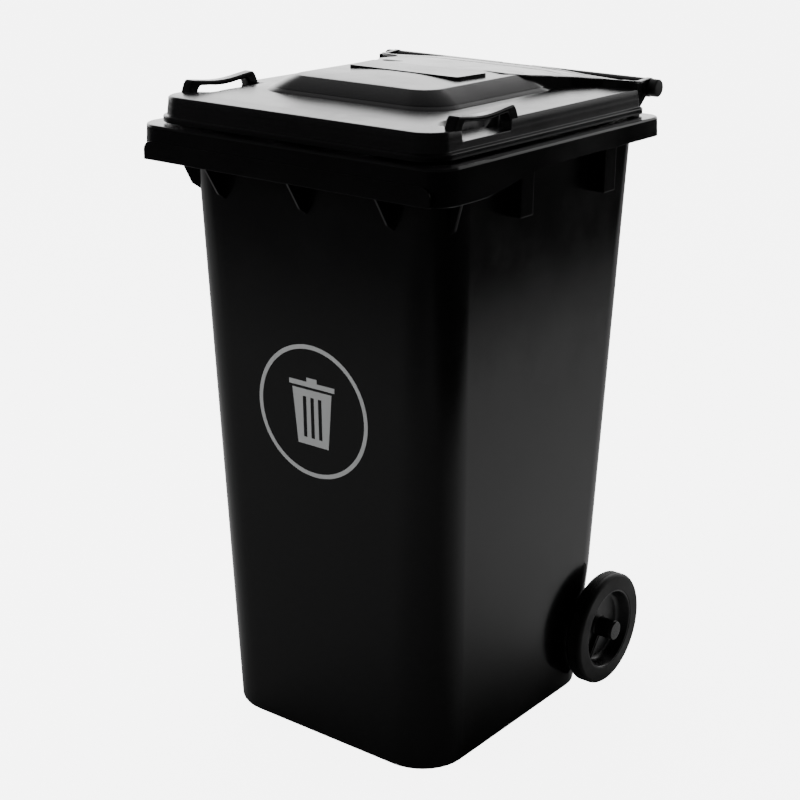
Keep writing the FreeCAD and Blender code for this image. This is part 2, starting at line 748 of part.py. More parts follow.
def make_tyre():
    """The right-hand tyre, with fine grooves round the inner half of its tread."""
    inner = wheel_inner_x
    outer = wheel_outer_x
    tyre = turned([(inner + 2, tyre_inner_radius), (inner, tyre_inner_radius + 4),
                   (inner, wheel_radius - 10), (inner + 4, wheel_radius - 4),
                   (inner + tyre_shoulder, wheel_radius), (outer - 4, wheel_radius),
                   (outer, wheel_radius - 4),
                   (outer, tyre_inner_radius + 1), (outer - 1, tyre_inner_radius)])
    for step in range(tread_grooves):
        x = inner + tyre_shoulder + tread_groove_pitch * step
        far = x + tread_groove_width
        tyre = tyre.cut(turned([(x, wheel_radius - tread_groove_depth), (x, wheel_radius + 1),
                                (far, wheel_radius + 1), (far, wheel_radius - tread_groove_depth)]))
    return tyre


def make_hub_cap():
    """A flat round cap with a short spigot that plugs the hub's open end."""
    bore = axle_radius + hub_running_fit
    return turned([(hub_end_x - 3, 0), (hub_end_x - 3, bore), (hub_end_x, bore),
                   (hub_end_x, hub_radius - 0.5), (hub_end_x + cap_thickness - 1, hub_radius - 0.5),
                   (hub_end_x + cap_thickness, hub_radius - 1.5), (hub_end_x + cap_thickness, 0)])


def make_washer():
    x = wheel_inner_x - washer_side_gap - washer_thickness
    return turned([(x, axle_radius), (x, washer_radius), (x + washer_thickness, washer_radius),
                   (x + washer_thickness, axle_radius)])


def make_lock_pin():
    """The sprung pin: its tip lies in the axle's groove."""
    tip = axle_radius - lock_groove_depth + lock_tip_gap
    flange_low = lock_chamber_start + 0.2
    flange_high = flange_low + lock_flange_thickness
    pin = upright(lock_pin_radius, tip, flange_low + 0.5)
    pin = pin.fuse(upright(lock_chamber_radius - 0.3, flange_low, flange_high))
    pin = pin.fuse(upright(lock_stem_radius, flange_high, flange_high + lock_stem_length))
    return pin.removeSplitter()


def make_lock_spring():
    low = lock_chamber_start + 0.2 + lock_flange_thickness + spring_wire_radius + 0.05
    high = lock_plug_start - spring_wire_radius - 0.05
    radius = lock_chamber_radius - 0.3 - spring_wire_radius
    helix = Part.makeHelix((high - low) / spring_turns, high - low, radius)
    start = Part.makeCircle(spring_wire_radius, V(radius, 0, 0), V(0, 1, 0))
    coil = Part.Wire(helix.Edges).makePipeShell([Part.Wire([start])], True, True)
    return coil.translated(V(lock_x, axle_y, wheel_radius + low))


def make_lock_plug():
    return upright(lock_chamber_radius, lock_plug_start, lock_plug_start + lock_plug_length)


# ---- Printed mark ----------------------------------------------------------------------------------

def on_front(shape):
    """Lay a shape drawn in the plane y = 0, round the origin, on the tub's leaning front wall."""
    run = tub_front_y(rim_top) - tub_front_y(0.0)
    lean = math.degrees(math.atan2(-run, rim_top))
    shape.rotate(V(0, 0, 0), V(1, 0, 0), lean)
    return shape.translated(V(0, tub_front_y(print_centre_z), print_centre_z))


def print_bar(x0, x1, z0, z1):
    return slab(x0, x1, -print_thickness, 0.0, z0, z1)


def make_print_ring():
    outer = Part.makeCylinder(print_ring_radius, print_thickness, V(0, 0, 0), V(0, -1, 0))
    inner = Part.makeCylinder(print_ring_radius - print_line, print_thickness, V(0, 0, 0),
                              V(0, -1, 0))
    return on_front(outer.cut(inner))


def make_print_bin():
    """A plain upright bin with a lid, drawn inside the ring."""
    radius = print_ring_radius
    top_half = radius * print_bin_top
    foot_half = radius * print_bin_foot
    low = -radius * print_bin_low
    high = low + radius * print_bin_height
    loop = [V(-foot_half, 0, low), V(foot_half, 0, low), V(top_half, 0, high),
            V(-top_half, 0, high)]
    bin_shape = Part.Face(Part.makePolygon(loop + loop[:1])).extrude(V(0, -print_thickness, 0))
    for step in (-1, 0, 1):
        left = radius * print_slot_spacing * step - print_slot_width / 2
        slot = slab(left, left + print_slot_width, -print_thickness - 1, 1,
                    low + print_slot_margin, high - print_slot_margin)
        bin_shape = bin_shape.cut(slot)
    lid_low = high + print_lid_gap
    lid_high = lid_low + print_lid_height
    lid_half = top_half + print_lid_overhang
    lid_bar = print_bar(-lid_half, lid_half, lid_low, lid_high)
    knob = print_bar(-foot_half / 3, foot_half / 3, lid_high, lid_high + print_knob_height)
    return on_front(Part.makeCompound([bin_shape, lid_bar.fuse(knob)]))


# ---- Write every piece -------------------------------------------------------------------------------

save(make_body(), "body")
save(make_lid(), "lid")
save(make_axle(), "axle")
save(make_print_ring(), "print_ring")
save(make_print_bin(), "print_bin")

paired = [("hinge_pin", make_hinge_pin()), ("wheel_disc", make_disc()), ("tyre", make_tyre()),
          ("hub_cap", make_hub_cap()), ("washer", make_washer()), ("lock_pin", make_lock_pin()),
          ("lock_spring", make_lock_spring()), ("lock_plug", make_lock_plug())]
for name, piece in paired:
    save(piece, name + "_right")
    save(mirrored(piece), name + "_left")
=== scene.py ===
"""A two-wheeled refuse container (wheelie bin): meshes, finishes, light and camera.

Meshes are drawn in millimetres and turned into metres when each piece is finished.
The front of the bin faces -Y and +Z is up.
"""
import bpy
import bmesh
import math
from mathutils import Matrix, Vector


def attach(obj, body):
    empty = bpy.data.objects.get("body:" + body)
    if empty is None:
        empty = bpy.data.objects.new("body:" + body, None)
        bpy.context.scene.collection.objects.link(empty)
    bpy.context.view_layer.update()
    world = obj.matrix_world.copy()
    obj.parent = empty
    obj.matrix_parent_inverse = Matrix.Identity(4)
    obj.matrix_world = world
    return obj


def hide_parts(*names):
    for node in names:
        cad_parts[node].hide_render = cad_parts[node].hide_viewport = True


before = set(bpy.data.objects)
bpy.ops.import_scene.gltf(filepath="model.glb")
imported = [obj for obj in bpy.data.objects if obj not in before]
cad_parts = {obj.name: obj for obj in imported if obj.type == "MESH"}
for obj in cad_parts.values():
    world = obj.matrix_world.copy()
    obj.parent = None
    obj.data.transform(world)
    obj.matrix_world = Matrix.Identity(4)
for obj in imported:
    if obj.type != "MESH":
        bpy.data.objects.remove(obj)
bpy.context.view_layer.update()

MM = 0.001
WELD = 0.02                     # points closer than this are made one, in millimetres

# ---- Sizes, in millimetres -----------------------------------------------------------------

# Rim of the body
RIM_HALF = 290.0
RIM_FRONT = -332.0
RIM_BACK = 268.0
RIM_TOP = 1005.0
RIM_CORNER = 42.0
RIM_BACK_CORNER = 24.0
RIM_WALL = 4.0
RIM_FLARE = 1.5
SKIRT_FRONT_Z = 951.0
SKIRT_LIFT = 23.0
SKIRT_LIFT_START = -242.0
SKIRT_LIFT_LENGTH = 180.0
BAND_TOP = 980.0
BAND_PROUD = 2.0
BAND_END = 18.0

# Tub
BASE_HALF = 224.25
BASE_FRONT = -235.4
BASE_BACK = 247.3
BASE_CORNER = 80.0
BASE_BACK_CORNER = 62.0
MOUTH_HALF = 253.3
MOUTH_FRONT = -275.2
MOUTH_BACK = 264.4
MOUTH_CORNER = 60.0
MOUTH_BACK_CORNER = 42.0
WALL = 4.0
FLOOR = 6.0
FOOT_ROUND = 9.0
HEEL_HEIGHT = 220.0
HEEL_LEAN = 18.0

# Recesses in the back wall
HAND_HALF = 180.0
HAND_FRONT = 225.0
HAND_LOW = 905.0
HAND_SLOPE_TOP = 940.0
AXLE_RECESS_HALF = 140.0
AXLE_RECESS_FRONT = 198.0
AXLE_RECESS_TOP = 165.0
AXLE_RECESS_CUT = 30.0
BACK_HALF_STARTS = 150.0        # only points behind this y belong to the back wall

# Ribs and gussets under the rim
GUSSET_SPACING = 163.0
GUSSET_THICK = 4.0
GUSSET_TIP_Z = 903.0
GUSSET_TIP = 15.0
GUSSET_SET_BACK = 15.0
GUSSET_LIP = 8.0
GUSSET_HEEL = 10.0
CORNER_GUSSET_ANGLE = 30.0
RIB_WIDTH = 33.0
RIB_REACH = 27.0
RIB_LOW = 901.0
RIB_STARTS = (-116.0, 117.0)

# Hinge line
HINGE_Y = 278.0
HINGE_Z = 1045.0
GRIP_RADIUS = 14.5
PIN_RADIUS = 8.0
PIN_HEAD_RADIUS = 14.2
PIN_HEAD_LENGTH = 14.5
PIN_LENGTH = 62.0
PIN_HEAD_GAP = 0.5
OUTER_POST_X = 236.0
POST_THICK = 12.0
INNER_POST_X = 30.0
INNER_POST_FOOT = 955.0
EAR_X = 250.0
EAR_THICK = 10.0
EAR_RADIUS = 15.5
EAR_WEB_FRONT = 45.0
EAR_WEB_FOOT = 34.0
EAR_HEEL = 12.0
EAR_FOOT_LIFT = 6.0

# Lid
FLANGE_HALF = 268.0
FLANGE_FRONT = -319.0
FLANGE_BACK = 251.0
FLANGE_CORNER = 44.0
FLANGE_BACK_CORNER = 14.0
FLANGE_Z = 1008.0
FLANGE_THICK = 10.0
SKIRT_INSET = 6.0
LID_DRAFT = 1.5
DECK_EDGE_Z = 1047.0
DECK_ROUND = 4.0
DECK_MARGIN = 31.0              # how far in the outline stays parallel to the lid's edge
DECK_MARGIN_RISE = 0.40         # share of the deck's rise over that margin
PLATEAU_HALF = 178.0
PLATEAU_FRONT = -192.0
PLATEAU_BACK = 153.0
PLATEAU_CORNER = 60.0
PLATEAU_TOP_CORNER = 34.0
PLATEAU_FOOT_Z = 1051.0
PLATEAU_TOP_Z = 1074.4
PLATEAU_SLOPE_SIDE = 44.0
PLATEAU_SLOPE_FRONT = 38.0
PLATEAU_SLOPE_BACK = 32.0
CROWN_Z = 1079.5
CROWN_CENTRE_Y = -16.0
CROWN_FOOT = 0.6
LID_WALL = 3.5
LID_RECESS_BACK = 228.0
LID_RECESS_HALF = 234.0
NOTCH_FRONT = 237.0
NOTCH_OUTER = 250.2

# Raised back of the lid
WING_START = 60.0
WING_LENGTH = 205.0
WING_MIDDLE_FRONT_Z = 1077.0
WING_MIDDLE_BACK_Z = 1066.0
WING_SIDE_FRONT_Z = 1072.5
WING_SIDE_BACK_Z = 1057.0
WING_BLEND_START = 100.0
WING_BLEND_LENGTH = 110.0
WING_EAR_HEIGHT = 3.0           # least height of its foot beside the ears, above the hinge line
WING_REAR_START = 205.0         # from here back its sides stand almost upright
WING_REAR_LENGTH = 20.0
WING_REAR_SHARE = 0.3
WING_ROUND = 7.0
WING_LONGEST_EDGE = 14.0

# Panel on the plateau
PANEL_HALF = 106.0
PANEL_FRONT = -42.0
PANEL_BACK = 30.0
PANEL_TOP = 1080.5

# Lid handles
HANDLE_FRONT = -259.0
HANDLE_LENGTH = 150.0
HANDLE_LEG = 18.0
HANDLE_TOP = 1065.0
HANDLE_DIP = 6.0
HANDLE_STRAP = 9.0
HANDLE_WIDTH = 19.0
POCKET_DEPTH = 15.0
POCKET_INNER = 215.0
POCKET_LAP = 3.0

# Axle and wheels
AXLE_Y = 234.0
AXLE_Z = 100.0
AXLE_RADIUS = 10.0
AXLE_END = 270.0
WHEEL_RADIUS = 100.0
WHEEL_INNER = 232.0
WHEEL_OUTER = 266.0
TYRE_INNER = 76.0
HUB_RADIUS = 17.0
HUB_END = 274.0
CAP_THICK = 4.0
WEB_BACK = 240.0
WEB_FRONT = 244.0
DISH_FLOOR = 60.0
DISH_MOUTH = 68.0
TUNNEL_RADIUS = 16.0
TUNNEL_END = 229.0
AXLE_RIB_X = 60.0
AXLE_RIB_THICK = 6.0
AXLE_RIB_FOOT = 55.0
AXLE_RIB_REACH = 16.0
BORE_FIT = 0.1
WASHER_RADIUS = 18.0
WASHER_START = 229.5
WASHER_END = 231.5
RIB_ANGLE = 232.0
RIB_HEIGHT = 7.0
RIB_SPACING = 6.0
RIB_THICK = 2.0
TYRE_LIP = 71.0
TREAD_START = 243.0
TREAD_GROOVES = 4
TREAD_PITCH = 3.5
TREAD_WIDTH = 1.4
TREAD_DEPTH = 1.0


def smooth_step(t):
    t = min(1.0, max(0.0, t))
    return t * t * (3 - 2 * t)


def mix(a, b, t):
    return a + (b - a) * t


# ---- Mesh helpers ----------------------------------------------------------------------------

class Plan:
    """Where the points of a round-cornered rectangular ring lie.

    side_ys and back_xs place the points along the sides and the back in millimetres. They are
    spread over the length there is once a ring is shorter than the lengths they were made for.
    """

    def __init__(self, corner_steps, front_cuts, side_ys, side_span, back_xs, back_span):
        self.corner_steps = corner_steps
        self.front_cuts = front_cuts
        self.side_ys = side_ys
        self.side_span = side_span
        self.back_xs = back_xs
        self.back_span = back_span

    def along_side(self, low, high):
        first, last = self.side_span
        if low <= first and high >= last:
            return self.side_ys
        return [mix(low, high, (y - first) / (last - first)) for y in self.side_ys]

    def along_back(self, limit):
        if limit >= self.back_span:
            return self.back_xs
        return [x * limit / self.back_span for x in self.back_xs]

    def points(self, section):
        half, front, back, corner, z = section[:5]
        rear = section[5] if len(section) > 5 else corner
        centres = [(half - corner, front + corner), (half - rear, back - rear),
                   (rear - half, back - rear), (corner - half, front + corner)]
        side = self.along_side(front + corner, back - rear)
        result = []
        for k in range(4):
            cx, cy = centres[k]
            radius = rear if k in (1, 2) else corner
            for step in range(self.corner_steps + 1):
                angle = math.radians(-90 + 90 * k + 90 * step / self.corner_steps)
                result.append(Vector((cx + radius * math.cos(angle),
                                      cy + radius * math.sin(angle), z)))
            if k == 0:
                result += [Vector((half, y, z)) for y in side]
            elif k == 1:
                result += [Vector((x, back, z)) for x in self.along_back(half - rear)]
            elif k == 2:
                result += [Vector((-half, y, z)) for y in reversed(side)]
            else:
                cuts = self.front_cuts
                reach = half - corner
                result += [Vector((reach * (2 * (i + 1) / (cuts + 1) - 1), front, z))
                           for i in range(cuts)]
        return result


def first_ring(bm, plan, section):
    points = plan.points(section)
    made = bmesh.ops.create_circle(bm, cap_ends=False, segments=len(points), radius=1.0)
    for vert, point in zip(made["verts"], points):
        vert.co = point
    return made["verts"]


def next_ring(bm, ring, plan, section):
    """Extrude a ring and lay the new one on another section."""
    edges = [bm.edges.get((a, b)) for a, b in zip(ring, ring[1:] + ring[:1])]
    made = bmesh.ops.extrude_edge_only(bm, edges=edges)
    fresh = {v for v in made["geom"] if isinstance(v, bmesh.types.BMVert)}
    new = []
    for vert in ring:
        new.append(next(e.other_vert(vert) for e in vert.link_edges if e.other_vert(vert) in fresh))
    for vert, point in zip(new, plan.points(section)):
        vert.co = point
    return new


def rings_through(bm, plan, sections):
    """A skin through a list of sections; returns its rings."""
    rings = [first_ring(bm, plan, sections[0])]
    for section in sections[1:]:
        rings.append(next_ring(bm, rings[-1], plan, section))
    return rings


def cap(bm, ring):
    bm.faces.new(ring)


def add_plate(bm, points, axis, low, high, bevel, segments=2):
    """A flat plate with softened edges. points lie in the plane across the axis."""
    if axis == "X":
        loop = [bm.verts.new((low, a, b)) for a, b in points]
        along = Vector((high - low, 0, 0))
    elif axis == "Y":
        loop = [bm.verts.new((a, low, b)) for a, b in points]
        along = Vector((0, high - low, 0))
    else:
        loop = [bm.verts.new((a, b, low)) for a, b in points]
        along = Vector((0, 0, high - low))
    face = bm.faces.new(loop)
    made = bmesh.ops.extrude_face_region(bm, geom=[face])
    moved = [v for v in made["geom"] if isinstance(v, bmesh.types.BMVert)]
    bmesh.ops.translate(bm, verts=moved, vec=along)
    verts = set(loop + moved)
    faces = [f for f in bm.faces if all(v in verts for v in f.verts)]
    bmesh.ops.recalc_face_normals(bm, faces=faces)
    edges = [e for e in bm.edges if e.verts[0] in verts and e.verts[1] in verts
             and len(e.link_faces) == 2 and e.calc_face_angle(0) > math.radians(25)]
    bmesh.ops.bevel(bm, geom=edges, offset=bevel, segments=segments, affect="EDGES",
                    profile=0.5, material=-1, clamp_overlap=True)


def add_turned(bm, profile, x_sign=1, y=0.0, z=0.0, steps=64):
    """Spin (x, radius) points about a line along X through (y, z)."""
    verts = [bm.verts.new((x * x_sign, y, z + r)) for x, r in profile]
    edges = [bm.edges.new(pair) for pair in zip(verts, verts[1:])]
    bmesh.ops.spin(bm, geom=verts + edges, cent=(0, y, z), axis=(1, 0, 0), dvec=(0, 0, 0),
                   angle=math.tau, steps=steps, use_merge=True, use_normal_flip=False,
                   use_duplicate=False)

def rounded_profile(points, radius, steps=3):
    """Round every inner corner of an open (x, radius) line; a point's own third value wins."""
    result = []
    last = len(points) - 1
    for i, point in enumerate(points):
        here = Vector(point[:2])
        r = point[2] if len(point) > 2 else radius
        if i == 0 or i == last or r <= 0:
            result.append(tuple(here))
            continue
        before = Vector(points[i - 1][:2]) - here
        after = Vector(points[i + 1][:2]) - here
        reach = min(r, before.length * 0.45, after.length * 0.45)
        a = here + before.normalized() * reach
        b = here + after.normalized() * reach
        for s in range(steps + 1):
            t = s / steps
            result.append(tuple(a.lerp(here, t).lerp(here.lerp(b, t), t)))
    return result


def finish_piece(bm, name, body, material, node, angle=40.0):
    """Turn a bmesh in millimetres into an object in metres that rides on a body."""
    bmesh.ops.remove_doubles(bm, verts=bm.verts, dist=WELD)
    bmesh.ops.recalc_face_normals(bm, faces=bm.faces)
    bmesh.ops.scale(bm, vec=(MM, MM, MM), verts=bm.verts)
    for face in bm.faces:
        face.smooth = True
    limit = math.radians(angle)
    for edge in bm.edges:
        if len(edge.link_faces) == 2 and edge.calc_face_angle(0) > limit:
            edge.smooth = False
    mesh = bpy.data.meshes.new(name)
    bm.to_mesh(mesh)
    bm.free()
    obj = bpy.data.objects.new(name, mesh)
    bpy.context.scene.collection.objects.link(obj)
    mesh.materials.append(material)
    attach(obj, body)
    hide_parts(node)
    weighted = obj.modifiers.new("face weighted normals", "WEIGHTED_NORMAL")
    weighted.keep_sharp = True


def evenly(low, high, count):
    return [mix(low, high, i / (count - 1)) for i in range(count)]


def recess_lines(half):
    """Points either side of a recess's edge, close together so that the edge is crisp."""
    return [half + 3.5, half + 1.5, half + 0.3, half - 0.3, half - 1.5, half - 3.5]


def pushed(depth, distance):
    """How far a point goes in, by its distance outside the recess's edge."""
    steps = [(3.4, 0.0), (1.4, min(1.2, depth * 0.1)), (0.2, min(4.0, depth * 0.3)),
             (-0.4, depth - min(4.0, depth * 0.3)), (-1.6, depth - min(1.2, depth * 0.1))]
    for limit, push in steps:
        if distance > limit:
            return push
    return depth


# ---- Body ----------------------------------------------------------------------------------------

def tub_at(z, inset=0.0):
    t = z / RIM_TOP
    lean = HEEL_LEAN * max(0.0, 1 - z / HEEL_HEIGHT)
    return (mix(BASE_HALF, MOUTH_HALF, t) - inset, mix(BASE_FRONT, MOUTH_FRONT, t) + inset,
            mix(BASE_BACK, MOUTH_BACK, t) - lean - inset,
            mix(BASE_CORNER, MOUTH_CORNER, t) - inset, z,
            mix(BASE_BACK_CORNER, MOUTH_BACK_CORNER, t) - inset)


def rim_at(z, inset=0.0):
    spread = RIM_FLARE * (RIM_TOP - z) / (RIM_TOP - SKIRT_FRONT_Z)
    return (RIM_HALF + spread - inset, RIM_FRONT - spread + inset, RIM_BACK + spread - inset,
            RIM_CORNER - inset, z, RIM_BACK_CORNER - inset)


def hand_limit(z):
    """The furthest back the wall reaches inside the hand recess at a height."""
    if z < HAND_LOW:
        return 400.0
    return max(HAND_FRONT, HAND_FRONT + HAND_SLOPE_TOP - z)


def carve_back(bm, grow, outside):
    """Push the back wall in at the hand recess and at the axle recess."""
    for vert in bm.verts:
        x, y, z = vert.co
        if y < BACK_HALF_STARTS or outside != vert.tag:
            continue
        if z > HAND_LOW - grow:
            limit = hand_limit(z + grow) - grow
            if y > limit:
                vert.co.y = y - pushed(y - limit, abs(x) - HAND_HALF - grow)
        elif z < AXLE_RECESS_TOP + grow:
            limit = AXLE_RECESS_FRONT - grow + max(0.0, z - AXLE_RECESS_TOP + AXLE_RECESS_CUT)
            if y > limit:
                vert.co.y = y - pushed(y - limit, abs(x) - AXLE_RECESS_HALF - grow)


def gusset_outline():
    tip_front = tub_at(GUSSET_TIP_Z)[1]
    top = RIM_TOP - RIM_WALL + 1
    out = RIM_FRONT + 2
    return [(out, top), (out, SKIRT_FRONT_Z + GUSSET_LIP),
            (RIM_FRONT + GUSSET_SET_BACK, SKIRT_FRONT_Z),
            (tip_front - GUSSET_TIP - 1, GUSSET_TIP_Z + 2), (tip_front - GUSSET_TIP + 1, GUSSET_TIP_Z),
            (tip_front + 2, GUSSET_TIP_Z - GUSSET_HEEL), (tip_front + 2, top)]


def add_corner_gusset(bm, sign):
    half, front, back, corner = tub_at(GUSSET_TIP_Z)[:4]
    cx, cy = half - corner, front + corner
    angle = math.radians(CORNER_GUSSET_ANGLE)
    reach = (RIM_HALF - 2 - cx) / math.cos(angle)
    top = RIM_TOP - RIM_WALL + 1
    points = [(corner - 2, top), (reach, top), (reach, SKIRT_FRONT_Z + GUSSET_LIP),
              (reach - GUSSET_SET_BACK, SKIRT_FRONT_Z), (corner + GUSSET_TIP, GUSSET_TIP_Z),
              (corner - 2, GUSSET_TIP_Z - GUSSET_HEEL)]
    older = set(bm.verts)
    add_plate(bm, points, "Y", -GUSSET_THICK / 2, GUSSET_THICK / 2, 1.0)
    fresh = [v for v in bm.verts if v not in older]
    swing = -angle if sign > 0 else angle + math.pi
    bmesh.ops.rotate(bm, verts=fresh, cent=(0, 0, 0), matrix=Matrix.Rotation(swing, 3, "Z"))
    bmesh.ops.translate(bm, verts=fresh, vec=(sign * cx, cy, 0))


def band_outline():
    half = RIM_HALF - BAND_END
    radius = (BAND_TOP - SKIRT_FRONT_Z) / 2
    points = [(-half, SKIRT_FRONT_Z + 0.2), (half, SKIRT_FRONT_Z + 0.2)]
    for sign, start in ((1, 0), (-1, 90)):
        for step in range(9):
            angle = math.radians(start + 90 * step / 8)
            points.append((sign * (half - radius) + radius * math.cos(angle),
                           BAND_TOP - radius + radius * math.sin(angle)))
    return points


def build_body(material):
    bm = bmesh.new()
    back_xs = recess_lines(HAND_HALF) + [160.0] + recess_lines(AXLE_RECESS_HALF) + [100.0, 50.0]
    back_xs = back_xs + [0.0] + [-x for x in reversed(back_xs)]
    plan = Plan(9, 25, evenly(-250, 180, 41), (-256, 186), back_xs, 184.5)

    sections = []
    for step in range(5):
        angle = math.radians(90 * step / 4)
        inset = FOOT_ROUND * (1 - math.sin(angle))
        z = FOOT_ROUND * (1 - math.cos(angle))
        sections.append(tub_at(z, inset))
    heights = [40, 90, 132, 135, 140, 150, 160, 164.9, 165.2, 168, 190, 220, 300, 420, 540, 660,
               780, 860, 900, 904.9, 906, 915, 925, 935, 939, 941, 945, 970, 990]
    sections += [tub_at(z) for z in heights]
    under = RIM_TOP - RIM_WALL
    sections.append(tub_at(under - 5))
    sections.append(tub_at(under - 1.5, -0.4))
    half, front, back, corner, z, rear = tub_at(under, -2.0)
    sections.append((half, front, min(back, RIM_BACK - RIM_WALL), corner, under, rear))
    inside = [under, under - 2.5, 985, 970, 960, SKIRT_FRONT_Z + 1.0]
    sections.append(rim_at(under, RIM_WALL + 2.0))
    sections += [rim_at(z, RIM_WALL) for z in inside[1:]]
    outer_start = len(sections)
    sections.append(rim_at(SKIRT_FRONT_Z, RIM_WALL - 1.0))
    sections.append(rim_at(SKIRT_FRONT_Z, 1.0))
    sections += [rim_at(z) for z in (SKIRT_FRONT_Z + 1.0, 960, 970, 980, 990, 1000)]
    sections += [rim_at(RIM_TOP - 3.0), rim_at(RIM_TOP - 0.9, 0.9), rim_at(RIM_TOP, 3.0)]
    sections.append(tub_at(RIM_TOP, 1.5))
    rim_end = len(sections)
    inner_heights = [1003.5, 990, 945, 941, 939, 935, 925, 915, 901, 900, 890, 780, 600, 420, 220,
                     190, 170, 169, 164, 150, 140, 134, 131, 90, 40, 18]
    sections.append(tub_at(RIM_TOP - 1.0, WALL - 0.5))
    sections += [tub_at(z, WALL) for z in inner_heights]
    for step in range(1, 4):
        angle = math.radians(90 * step / 3)
        z = FLOOR + 12.0 * (1 - math.sin(angle))
        sections.append(tub_at(z, WALL + 12.0 * (1 - math.cos(angle))))
    rings = rings_through(bm, plan, sections)
    for index, ring in enumerate(rings):
        skirt = outer_start - 5 <= index < rim_end
        for vert in ring:
            vert.tag = index < rim_end
            if not skirt:
                continue
            lift = SKIRT_LIFT * smooth_step((vert.co.y - SKIRT_LIFT_START) / SKIRT_LIFT_LENGTH)
            share = (RIM_TOP - 3.0 - vert.co.z) / (RIM_TOP - 3.0 - SKIRT_FRONT_Z)
            vert.co.z += lift * max(0.0, min(1.0, share))
    cap(bm, list(reversed(rings[0])))
    cap(bm, rings[-1])
    carve_back(bm, 0.0, True)
    carve_back(bm, WALL, False)
    bmesh.ops.recalc_face_normals(bm, faces=bm.faces)

    for x in (-GUSSET_SPACING, 0.0, GUSSET_SPACING):
        add_plate(bm, gusset_outline(), "X", x - GUSSET_THICK / 2, x + GUSSET_THICK / 2, 1.0)
    for sign in (-1, 1):
        add_corner_gusset(bm, sign)
    add_plate(bm, band_outline(), "Y", RIM_FRONT - BAND_PROUD, RIM_FRONT + 2.5, 0.9)
    for start in RIB_STARTS:
        inner = tub_at(RIB_LOW)[0] - 2
        outer = tub_at(RIB_LOW)[0] + RIB_REACH
        for sign in (-1, 1):
            loop = [(inner, start), (outer, start), (outer, start + RIB_WIDTH),
                    (inner, start + RIB_WIDTH), (inner, start + RIB_WIDTH - WALL),
                    (outer - WALL, start + RIB_WIDTH - WALL), (outer - WALL, start + WALL),
                    (inner, start + WALL)]
            add_plate(bm, [(sign * a, b) for a, b in loop], "Z", RIB_LOW, RIM_TOP - RIM_WALL + 1, 1.6)
    add_rear(bm)
    finish_piece(bm, "bin_shell", "container", material, "body")


def add_rear(bm):
    """Posts, grips and the fittings round the axle."""
    lean = GRIP_RADIUS * 0.97
    outer_post = [(RIM_BACK - 22, RIM_TOP - 3), (RIM_BACK, RIM_TOP - 3), (RIM_BACK + 1, RIM_TOP + 8),
                  (HINGE_Y + lean - 3, HINGE_Z - 14), (HINGE_Y + lean, HINGE_Z - 4), (HINGE_Y, HINGE_Z),
                  (HINGE_Y - lean, HINGE_Z - 4), (HINGE_Y - lean, HINGE_Z - 12),
                  (RIM_BACK - 20, RIM_TOP + 8)]
    wall_y = HAND_FRONT - 2
    inner_post = [(wall_y, INNER_POST_FOOT), (wall_y, RIM_TOP - 5), (HINGE_Y - lean, HINGE_Z - 4),
                  (HINGE_Y, HINGE_Z), (HINGE_Y + lean, HINGE_Z - 4)]
    rib_front = AXLE_RECESS_FRONT - 2
    rib_top = AXLE_RECESS_TOP + 2
    rib = [(rib_front, AXLE_RIB_FOOT), (AXLE_Y + AXLE_RIB_REACH, AXLE_Z),
           (AXLE_Y + AXLE_RIB_REACH / 2, rib_top), (rib_front, rib_top)]
    for sign in (-1, 1):
        a, b = sorted((sign * OUTER_POST_X, sign * (OUTER_POST_X + POST_THICK)))
        add_plate(bm, outer_post, "X", a, b, 1.5)
        a, b = sorted((sign * INNER_POST_X, sign * (INNER_POST_X + POST_THICK)))
        add_plate(bm, inner_post, "X", a, b, 1.5)
        a, b = sorted((sign * AXLE_RIB_X, sign * (AXLE_RIB_X + AXLE_RIB_THICK)))
        add_plate(bm, rib, "X", a, b, 1.5)
        end = OUTER_POST_X + POST_THICK
        grip = [(INNER_POST_X, 0.0), (INNER_POST_X, GRIP_RADIUS, 2.0), (end, GRIP_RADIUS, 1.5),
                (end, PIN_RADIUS + BORE_FIT, 0.3), (end - 40, PIN_RADIUS + BORE_FIT)]
        add_turned(bm, rounded_profile(grip, 1.5), sign, HINGE_Y, HINGE_Z, 48)
        bore = AXLE_RADIUS + BORE_FIT
        tunnel_start = AXLE_RECESS_HALF - 3
        tunnel = [(tunnel_start, bore), (tunnel_start, TUNNEL_RADIUS),
                  (TUNNEL_END, TUNNEL_RADIUS, 1.5), (TUNNEL_END, bore)]
        add_turned(bm, rounded_profile(tunnel, 1.5), sign, AXLE_Y, AXLE_Z, 48)


# ---- Lid -----------------------------------------------------------------------------------------

def lid_section(inset, part):
    """Named rings of the lid, drawn in by an inset."""
    half = FLANGE_HALF - SKIRT_INSET - inset
    front = FLANGE_FRONT + SKIRT_INSET + inset
    back = FLANGE_BACK - SKIRT_INSET - inset
    corner = FLANGE_CORNER - SKIRT_INSET - inset / 2
    rear = FLANGE_BACK_CORNER - SKIRT_INSET - inset / 2
    return half - part, front + part, back - part, corner, rear


